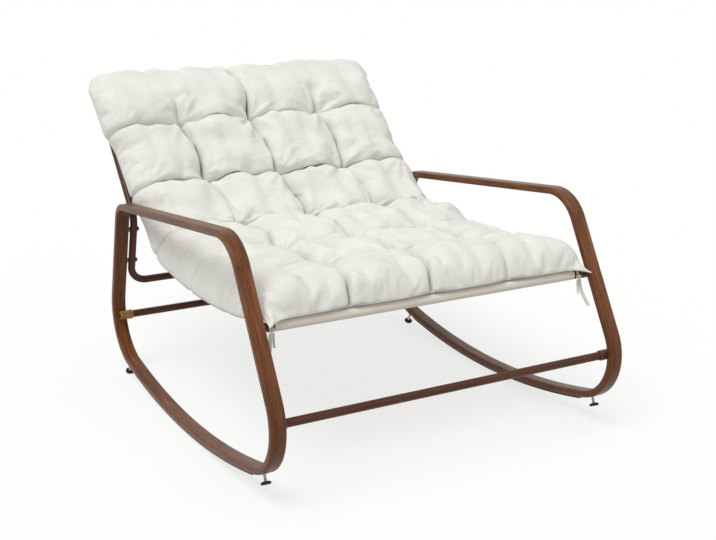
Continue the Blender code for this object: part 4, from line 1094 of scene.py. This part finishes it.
def walk(start, heading, stretches):
    """A side-plane path of (length, turn in degrees) stretches, with the point and heading at its end."""
    path = []
    for length, turn in stretches:
        path.append((start, heading, length, turn))
        if turn:
            radius = length / math.radians(turn)
            start = start + (left_of(direction(heading)) - left_of(direction(heading + turn))) * radius
        else:
            start = start + direction(heading) * length
        heading += turn
    return path, start, heading


def along(path, distance):
    """Point and heading at a distance along a path."""
    for start, heading, length, turn in path:
        if distance <= length or (start, heading, length, turn) == path[-1]:
            break
        distance -= length
    _, point, heading = walk(start, heading, [(distance, turn * distance / length)])
    return point, heading


def sling_stretches():
    """Start of the sheet on the seat bar's sleeve, and its seat arc, knee arc and straight back."""
    start = axis_of("seat_bar") + left_of(direction(-SLING_DIP)) * SLEEVE_MIDDLE
    seat = (math.radians(SEAT_ARC_TURN) * SEAT_ARC_RADIUS, SEAT_ARC_TURN)
    low = 0.0
    high = 90.0
    for _ in range(FITTING_ROUNDS):
        turn = (low + high) / 2
        knee = (math.radians(turn) * SLING_KNEE_RADIUS, turn)
        _, end, heading = walk(start, -SLING_DIP, [seat, knee])
        target = axis_of("top_bar") + left_of(direction(heading)) * SLEEVE_MIDDLE
        if left_of(direction(heading)).dot(target - end) > 0:
            low = turn
        else:
            high = turn
    return start, [seat, knee, ((target - end).length, 0.0)]


def sleeve(bar, heading, sense):
    """Centre line of a sleeve, from where the sheet leaves the bar round it to the seam under the sheet."""
    leave = 90 + heading
    under = left_of(direction(heading)) * (SLEEVE_MIDDLE - SLING_THICKNESS - PIECE_GAP)
    seam = bar + under + direction(heading) * SLING_HEM * sense
    offset = seam - bar
    touch = outward_angle(offset) - sense * math.degrees(math.acos(SLEEVE_MIDDLE / offset.length))
    sweep = ((touch - leave) * sense) % 360
    angles = [leave + sense * sweep * step / SLEEVE_STEPS for step in range(SLEEVE_STEPS + 1)]
    return [bar + direction(angle) * SLEEVE_MIDDLE for angle in angles] + [seam]


def make_sling():
    """One woven sheet with a sewn sleeve round the seat bar and one round the top bar."""
    start, stretches = sling_stretches()
    path, _, top_heading = walk(start, -SLING_DIP, stretches)
    total = sum(length for length, _ in stretches)
    count = round(total / SLING_STEP)
    sheet = [along(path, total * step / count)[0] for step in range(count + 1)]
    front = sleeve(axis_of("seat_bar"), -SLING_DIP, 1)
    top = sleeve(axis_of("top_bar"), top_heading, -1)
    line = front[:0:-1] + sheet + top[1:]
    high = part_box("sling")[1]
    front_half = high.x
    corners = [vertex.co for vertex in NODES["sling"].data.vertices]
    top_half = max(corner.x for corner in corners if corner.z > high.z - SLING_TOP_BAND)
    rings = []
    for index, point in enumerate(line):
        before = line[max(0, index - 1)]
        after = line[min(len(line) - 1, index + 1)]
        normal = left_of((after - before).normalized()) * SLING_THICKNESS / 2
        share = min(1.0, max(0.0, (index - len(front)) / count))
        half = front_half + (top_half - front_half) * share
        xs = [-half + 2 * half * step / SLING_SPANS for step in range(SLING_SPANS + 1)]
        upper = [in_plane(x, point + normal) for x in xs]
        lower = [in_plane(x, point - normal) for x in reversed(xs)]
        rings.append(upper + lower)
    length = sum((b - a).length for a, b in zip(line, line[1:]))
    cloth = make_object("woven_sling", loft(rings), sling_finish(length))
    stand_for(cloth, "sling")


# Cushion


def ease(share):
    share = np.clip(share, 0.0, 1.0)
    return share * share * (3 - 2 * share)


def side_share(j):
    """Share of the way from the cushion's middle to a side seam, from -1 on the left to 1 on the right."""
    return 2 * j / COLUMNS - 1


def front_share(i):
    """Share of the front face's height, from its seam up."""
    return np.clip(i / FRONT_SHARE, 0.0, 1.0)


class Bed:
    """The sling's upper side and the way over the top bar, as arrays that can be read at any distance."""

    def __init__(self):
        start, stretches = sling_stretches()
        over = SLING_THICKNESS / 2 + BED_GAP
        first = start + left_of(direction(-SLING_DIP)) * over - direction(-SLING_DIP) * OVERHANG
        bed = [(OVERHANG, 0.0)]
        bed += [(length - over * math.radians(turn), turn) for length, turn in stretches]
        bed += [(WRAP_START, 0.0), (math.radians(WRAP_TURN) * WRAP_RADIUS, -WRAP_TURN), (TAIL, 0.0)]
        path, _, _ = walk(first, -SLING_DIP, bed)
        self.length = sum(length for length, _ in bed)
        self.seat_end = bed[0][0] + bed[1][0]
        self.wrap_start = self.length - TAIL - bed[-2][0]
        self.distances = np.linspace(0.0, self.length, BED_STEPS)
        places = [along(path, distance) for distance in self.distances]
        self.y = np.array([point.x for point, _ in places])
        self.z = np.array([point.y for point, _ in places])
        self.heading = np.radians([heading for _, heading in places])

    def up(self, distance):
        """Normals of the bed."""
        heading = np.interp(distance, self.distances, self.heading)
        return np.stack([np.zeros_like(heading), -np.sin(heading), np.cos(heading)], axis=-1)

    def at(self, distance, x, height):
        """Points over the bed."""
        y = np.interp(distance, self.distances, self.y)
        z = np.interp(distance, self.distances, self.z)
        return np.stack([x, y, z], axis=-1) + self.up(distance) * np.asarray(height)[..., None]


def puff_lattice(bed):
    """Cell index, distance and x of every point of the upper cover."""
    rows = np.concatenate([
        np.linspace(0.0, FRONT_SHARE, FRONT_STEPS, endpoint=False),
        np.linspace(FRONT_SHARE, 1.0, round(PUFF_STEPS * (1 - FRONT_SHARE)), endpoint=False),
        np.linspace(1.0, ROWS, (ROWS - 1) * PUFF_STEPS + 1),
    ])
    edge = np.linspace(0.0, 1.0, PUFF_STEPS, endpoint=False) ** SIDE_CROWDING
    inner = np.linspace(1.0, COLUMNS - 1, (COLUMNS - 2) * PUFF_STEPS + 1)
    columns = np.concatenate([edge, inner, COLUMNS - edge[::-1]])
    i, j = np.meshgrid(rows, columns, indexing="ij")
    marks = np.array(ROW_SHARES) * bed.length
    distance = np.interp(i, np.arange(ROWS + 1), marks)
    face = np.cos(front_share(i) * math.pi / 2) ** EDGE_ROUNDING
    distance = np.where(i < FRONT_SHARE, FRONT_ROUNDING * (1 - face), distance)
    side = side_share(j)
    corner = np.clip((distance - bed.wrap_start - WRAP_START) / CORNER_LENGTH + 1, 0.0, 1.0)
    half = CUSHION_HALF - CORNER_CUT * (1 - np.sqrt(1 - corner**2)) - DRAWN_IN * crease(i, ROWS)
    slide = BACK_SLIDE * ease((distance - SLIDE_START) / SLIDE_LENGTH)
    flare = ease((distance - FLARE_START) / FLARE_LENGTH)
    corner_flare = ease((distance - CORNER_FLARE_START) / FLARE_LENGTH)
    slide = slide + np.where(side < 0, -TOP_FLARE * flare, CORNER_FLARE * corner_flare)
    shift = SEAT_SHIFT + (BACK_SHIFT - SEAT_SHIFT) * ease((distance - marks[2]) / (marks[-2] - marks[2]))
    shift = shift + (FRONT_SHIFT - SEAT_SHIFT) * ease(1 - i)
    shift = shift + CREASE_BOW * np.sin(math.pi * i) ** 2 * (i > 1)
    inside = np.minimum(1.0, (1 - np.abs(side)) * COLUMNS / 2)
    x = slide * (1 - inside) + half * side + shift * inside
    distance = distance + CREASE_BOW * np.sin(math.pi * j) ** 2 * crease(i, ROWS)
    distance = distance + FRONT_FOLD * crease(j, COLUMNS) * (1 - front_share(i))
    return i, j, distance, x


def crease(index, last):
    """How near a cell index is to a line between cells, from 0 to 1, and 0 along the outer edges."""
    share = np.abs(2 * (index % 1.0) - 1) ** CREASE_SHARPNESS
    return np.where((index < 0.5) | (index > last - 0.5), 0.0, share)


def plateaus(index, values):
    """One value for each cell along an index, with a short slope between cells."""
    cells = np.arange(len(values))
    knots = np.stack([cells + FOLD_BLEND, cells + 1 - FOLD_BLEND], axis=-1).ravel()
    return np.interp(index, knots, np.repeat(values, 2))


def fold_strengths(i, j):
    """Strength of the nearest fold across and of the nearest fold down, at every point."""
    across = np.zeros_like(i)
    down = np.zeros_like(i)
    for row, values in enumerate(ROW_FOLDS, 1):
        across += plateaus(j, values) * (np.round(i) == row)
    for column in range(1, COLUMNS):
        strength = plateaus(i, [folds[column - 1] for folds in COLUMN_FOLDS])
        if column != TOP_FOLD:
            strength = strength * (1 - ease((i - len(ROW_FOLDS)) / TOP_FADE))
        down += strength * (np.round(j) == column)
    return across, down


def cover_heights(bed, i, j, distance):
    """Height of the upper cover over the bed, and the strength of the painted shade line in the folds at each
    point.
    """
    upright = ease((distance - bed.seat_end) / CROWN_BLEND)
    crown = SEAT_CROWN + (BACK_CROWN - SEAT_CROWN) * upright
    crown = TOP_EDGE + (crown - TOP_EDGE) * ease((bed.wrap_start - distance) / TOP_ROUNDING)
    rows = crease(i, ROWS)
    columns = crease(j, COLUMNS)
    across, down = fold_strengths(i, j)
    fold = np.minimum(TUFT_SINK, np.maximum(ROW_SINK * rows * across, COLUMN_SINK * columns * down))
    both = rows * columns
    height = crown * (1 - fold - (TUFT_SINK - fold) * both)
    droop = ease((distance - DROOP_START) / DROOP_LENGTH) * np.where(j > COLUMNS / 2, 1 - upright, 1.0)
    lift = SIDE_LIFT + (SIDE_DROOP - SIDE_LIFT) * droop
    side = np.abs(side_share(j))
    height = lift + (height - lift) * np.sqrt(np.maximum(0.0, 1 - side**SIDE_FULLNESS))
    end = np.clip((bed.length - distance) / END_ROUNDING, 0.0, 1.0)
    front = np.sin(front_share(i) * math.pi / 2) ** EDGE_ROUNDING
    # line: strength of the painted shade along the folds' lines, fading near the side seams.
    line = rows**SHADE_LINE_SHARPNESS * across * (1 - side**SHADE_LINE_FADE)
    line = np.maximum(line, columns**SHADE_LINE_SHARPNESS * down)
    return height * np.sqrt(1 - (1 - end) ** 2) * front + BED_GAP, np.minimum(line, 1.0)


def lumps(x, distance):
    """Soft unevenness of the filling."""
    random = np.random.default_rng(SEED)
    total = np.zeros_like(x)
    for _ in range(LUMP_WAVES):
        angle, phase = random.uniform(0.0, 2 * math.pi, 2)
        pace = 2 * math.pi / (LUMP_SIZE * random.uniform(*LUMP_SPREAD))
        total += np.cos(pace * (x * math.cos(angle) + distance * math.sin(angle)) + phase)
    return LUMP * total / math.sqrt(LUMP_WAVES / 2)


def wrinkles(x, distance):
    """Small sharp wrinkles of the cover."""
    random = np.random.default_rng(SEED)
    total = np.zeros_like(x)
    for _ in range(WRINKLE_WAVES):
        angle, phase, other = random.uniform(0.0, 2 * math.pi, 3)
        pace = 2 * math.pi / (WRINKLE_SIZE * random.uniform(*WRINKLE_SPREAD))
        along_wave = x * math.cos(angle) + distance * math.sin(angle)
        across_wave = x * math.sin(angle) - distance * math.cos(angle)
        patch = np.sin(across_wave * pace / WRINKLE_PATCH[0] + other)
        patch = np.maximum(0.0, patch * np.sin(along_wave * pace / WRINKLE_PATCH[1] + phase))
        waver = WRINKLE_WAVER[0] * np.sin(across_wave * pace / WRINKLE_WAVER[1])
        total += patch * (1 - 2 * np.abs(np.sin(along_wave * pace + waver)))
    return WRINKLE * total


def puckers(i, j, x, distance):
    """Height of the small folds that run out from each tuft and from the rows' ends."""
    random = np.random.default_rng(SEED)
    total = np.zeros_like(x)
    columns = (SIDE_PUCKER, *range(1, COLUMNS), COLUMNS - SIDE_PUCKER)
    for row in range(1, ROWS):
        for column in columns:
            at = np.argmin((i - row) ** 2 + (j - column) ** 2)
            across = x - x.flat[at]
            ahead = distance - distance.flat[at]
            reach = np.hypot(across, ahead) / (PUCKER_REACH * random.uniform(*PUCKER_REACH_SPREAD))
            angle = np.arctan2(ahead, across)
            phase = random.uniform(0.0, 2 * math.pi, 2)
            bend = PUCKER_FOLDS * angle + phase[0] + PUCKER_WAVER * np.sin(2 * angle + phase[1])
            rays = 1 - 2 * np.abs(np.cos(bend)) ** PUCKER_SHARPNESS
            total += PUCKER * rays * reach * np.exp(1 - reach**2) * random.uniform(*PUCKER_SPREAD)
    return total


def eared(points):
    """The cover with its two front corners drawn out to points."""
    for column, side in ((0, -1), (-1, 1)):
        corner = points[0, column]
        near = np.exp(-(np.linalg.norm(points - corner, axis=-1) / EAR_REACH) ** 2)
        points = points + near[..., None] * np.array(EAR) * (side, 1, 1)
    return points


def make_cushion():
    """The tufted cover, blown up by the cloth simulation and closed by an underside."""
    bed = Bed()
    i, j, distance, x = puff_lattice(bed)
    # fold holds the strength of the painted shade line in the folds.
    height, fold = cover_heights(bed, i, j, distance)
    loose = np.minimum(1.0, height / BACK_CROWN) * (1 - np.abs(side_share(j)) ** SIDE_FULLNESS)
    bulge = np.hypot(x - BULGE_PLACE[0], distance - BULGE_PLACE[1]) / BULGE_REACH
    height = height + BULGE_HEIGHT * np.exp(-(bulge**2)) * loose
    start = eared(bed.at(distance, x, height + lumps(x, distance) * loose))
    top = swollen(start, i, j)
    move = top - start
    far = np.linalg.norm(move, axis=-1, keepdims=True)
    top = start + move * np.minimum(1.0, MOVE_LIMIT / np.maximum(far, BED_GAP))
    relief = puckers(i, j, x, distance) + wrinkles(x, distance)
    top = top + bed.up(distance) * (relief * loose)[..., None]
    left_limit = -SIDE_LIMIT - TOP_FLARE * ease((distance - FLARE_START) / FLARE_LENGTH)
    top[..., 0] = np.clip(top[..., 0], left_limit, SIDE_LIMIT)
    # Painted shade along the seam round the cushion.
    for edge in (fold[0], fold[-1], fold[:, 0], fold[:, -1]):
        edge[:] = SEAM_SHADE
    cover = closed_cover(bed, top, distance, x, j, fold)
    stand_for(cover, "cushion")


def grid_faces(rows, columns):
    faces = []
    for row in range(rows - 1):
        for here in range(row * columns, (row + 1) * columns - 1):
            faces.append((here, here + 1, here + columns + 1, here + columns))
    return faces


def swollen(start, i, j):
    """The cover after a cloth simulation with some spare cloth, held at its edges and tufts and blown up."""
    mesh = bpy.data.meshes.new("cover")
    mesh.from_pydata(start.reshape(-1, 3).tolist(), [], grid_faces(*i.shape))
    cover = linked("cover", mesh)
    edge = np.zeros(i.shape)
    edge[0] = edge[-1] = 1.0
    edge[:, 0] = edge[:, -1] = 1.0
    near = np.maximum(np.abs(i - np.round(i)), np.abs(j - np.round(j)))
    inner = (i > 0.5) & (i < ROWS - 0.5) & (j > 0.5) & (j < COLUMNS - 0.5)
    edge[inner & (near < 1 / PUFF_STEPS)] = 1.0
    across, down = fold_strengths(i, j)
    columns_held = (crease(j, COLUMNS) > ON_LINE) * COLUMN_HOLD * np.round(down, 1)
    rows_held = (crease(i, ROWS) > ON_LINE) * ROW_HOLD * np.round(across, 1)
    hold = np.maximum(edge, np.maximum(columns_held, rows_held)).ravel()
    pins = cover.vertex_groups.new(name="pins")
    for weight in np.unique(hold[hold > 0]):
        pins.add(np.flatnonzero(hold == weight).tolist(), float(weight), "REPLACE")
    cloth = cover.modifiers.new("cloth", "CLOTH")
    for setting, value in CLOTH.items():
        setattr(cloth.settings, setting, value)
    cloth.settings.vertex_group_mass = "pins"
    cloth.settings.effector_weights.gravity = 0.0
    cloth.collision_settings.use_collision = False
    cloth.collision_settings.use_self_collision = False
    cloth.point_cache.frame_start = 1
    cloth.point_cache.frame_end = CLOTH_FRAMES
    for step in range(1, CLOTH_FRAMES + 1):
        bpy.context.scene.frame_set(step)
    result = cover.evaluated_get(bpy.context.evaluated_depsgraph_get()).to_mesh()
    places = np.empty(len(result.vertices) * 3)
    result.vertices.foreach_get("co", places)
    bpy.data.objects.remove(cover)
    bpy.context.scene.frame_set(1)
    return places.reshape(start.shape)


def closed_cover(bed, top, distance, x, j, fold):
    """The swollen cover closed by an underside that lies on the sling."""
    rows, columns = x.shape
    points = top.reshape(-1, 3).tolist()
    folds = fold.ravel().tolist()
    places = np.stack([x, distance], axis=-1).reshape(-1, 2).tolist()
    inner = list(range(UNDER_SKIP, columns - 1, UNDER_SKIP))
    under = {}
    ends = [0, -1]
    for row in range(1, rows - 1):
        side = np.abs(side_share(j[row, inner]))
        side_lift = top[row, ends] - bed.at(distance[row, ends], x[row, ends], np.zeros(2))
        seam = (side_lift * bed.up(distance[row, ends])).sum(axis=-1)
        seam = np.where(j[row, inner] < COLUMNS / 2, seam[0], seam[1])
        low = bed.at(distance[row, inner], x[row, inner], seam * side**UNDER_FULLNESS)
        for column, point in zip(inner, low.tolist()):
            under[row, column] = len(points)
            points.append(point)
            folds.append(0.0)
            places.append((x[row, column], -distance[row, column]))
    faces = grid_faces(rows, columns)
    marks = [0, *inner, columns - 1]

    def index(row, column):
        return under.get((row, column), row * columns + column)

    for row in range(rows - 1):
        for left, right in zip(marks, marks[1:]):
            near = [index(row, left), index(row, right)]
            far = [index(row + 1, right), index(row + 1, left)]
            if row == 0:
                near = list(range(left, right + 1))
            if row == rows - 2:
                far = [(rows - 1) * columns + column for column in range(right, left - 1, -1)]
            faces.append(tuple((near + far)[::-1]))
    uvs = [places[corner] for face in faces for corner in face]
    cover = make_object("tufted_cushion", (points, faces, uvs), CANVAS, NEVER_SHARP)
    # The fold attribute carries the painted shade line into the canvas finish.
    cover.data.attributes.new("fold", "FLOAT", "POINT").data.foreach_set("value", folds)
    finer = cover.modifiers.new("finer", "SUBSURF")
    finer.levels = 1
    finer.render_levels = 1
    return cover


make_camera()
make_ties()
make_world()
make_sun("key", KEY_LIGHT, KEY_FROM)
make_sun("fill", FILL_LIGHT, FILL_FROM)
make_floor()
make_side_frames()
make_glides()
make_bars()
make_fasteners()
make_sockets()
make_back_frame()
make_sling()
make_cushion()

bpy.context.scene.view_settings.view_transform = "Standard"
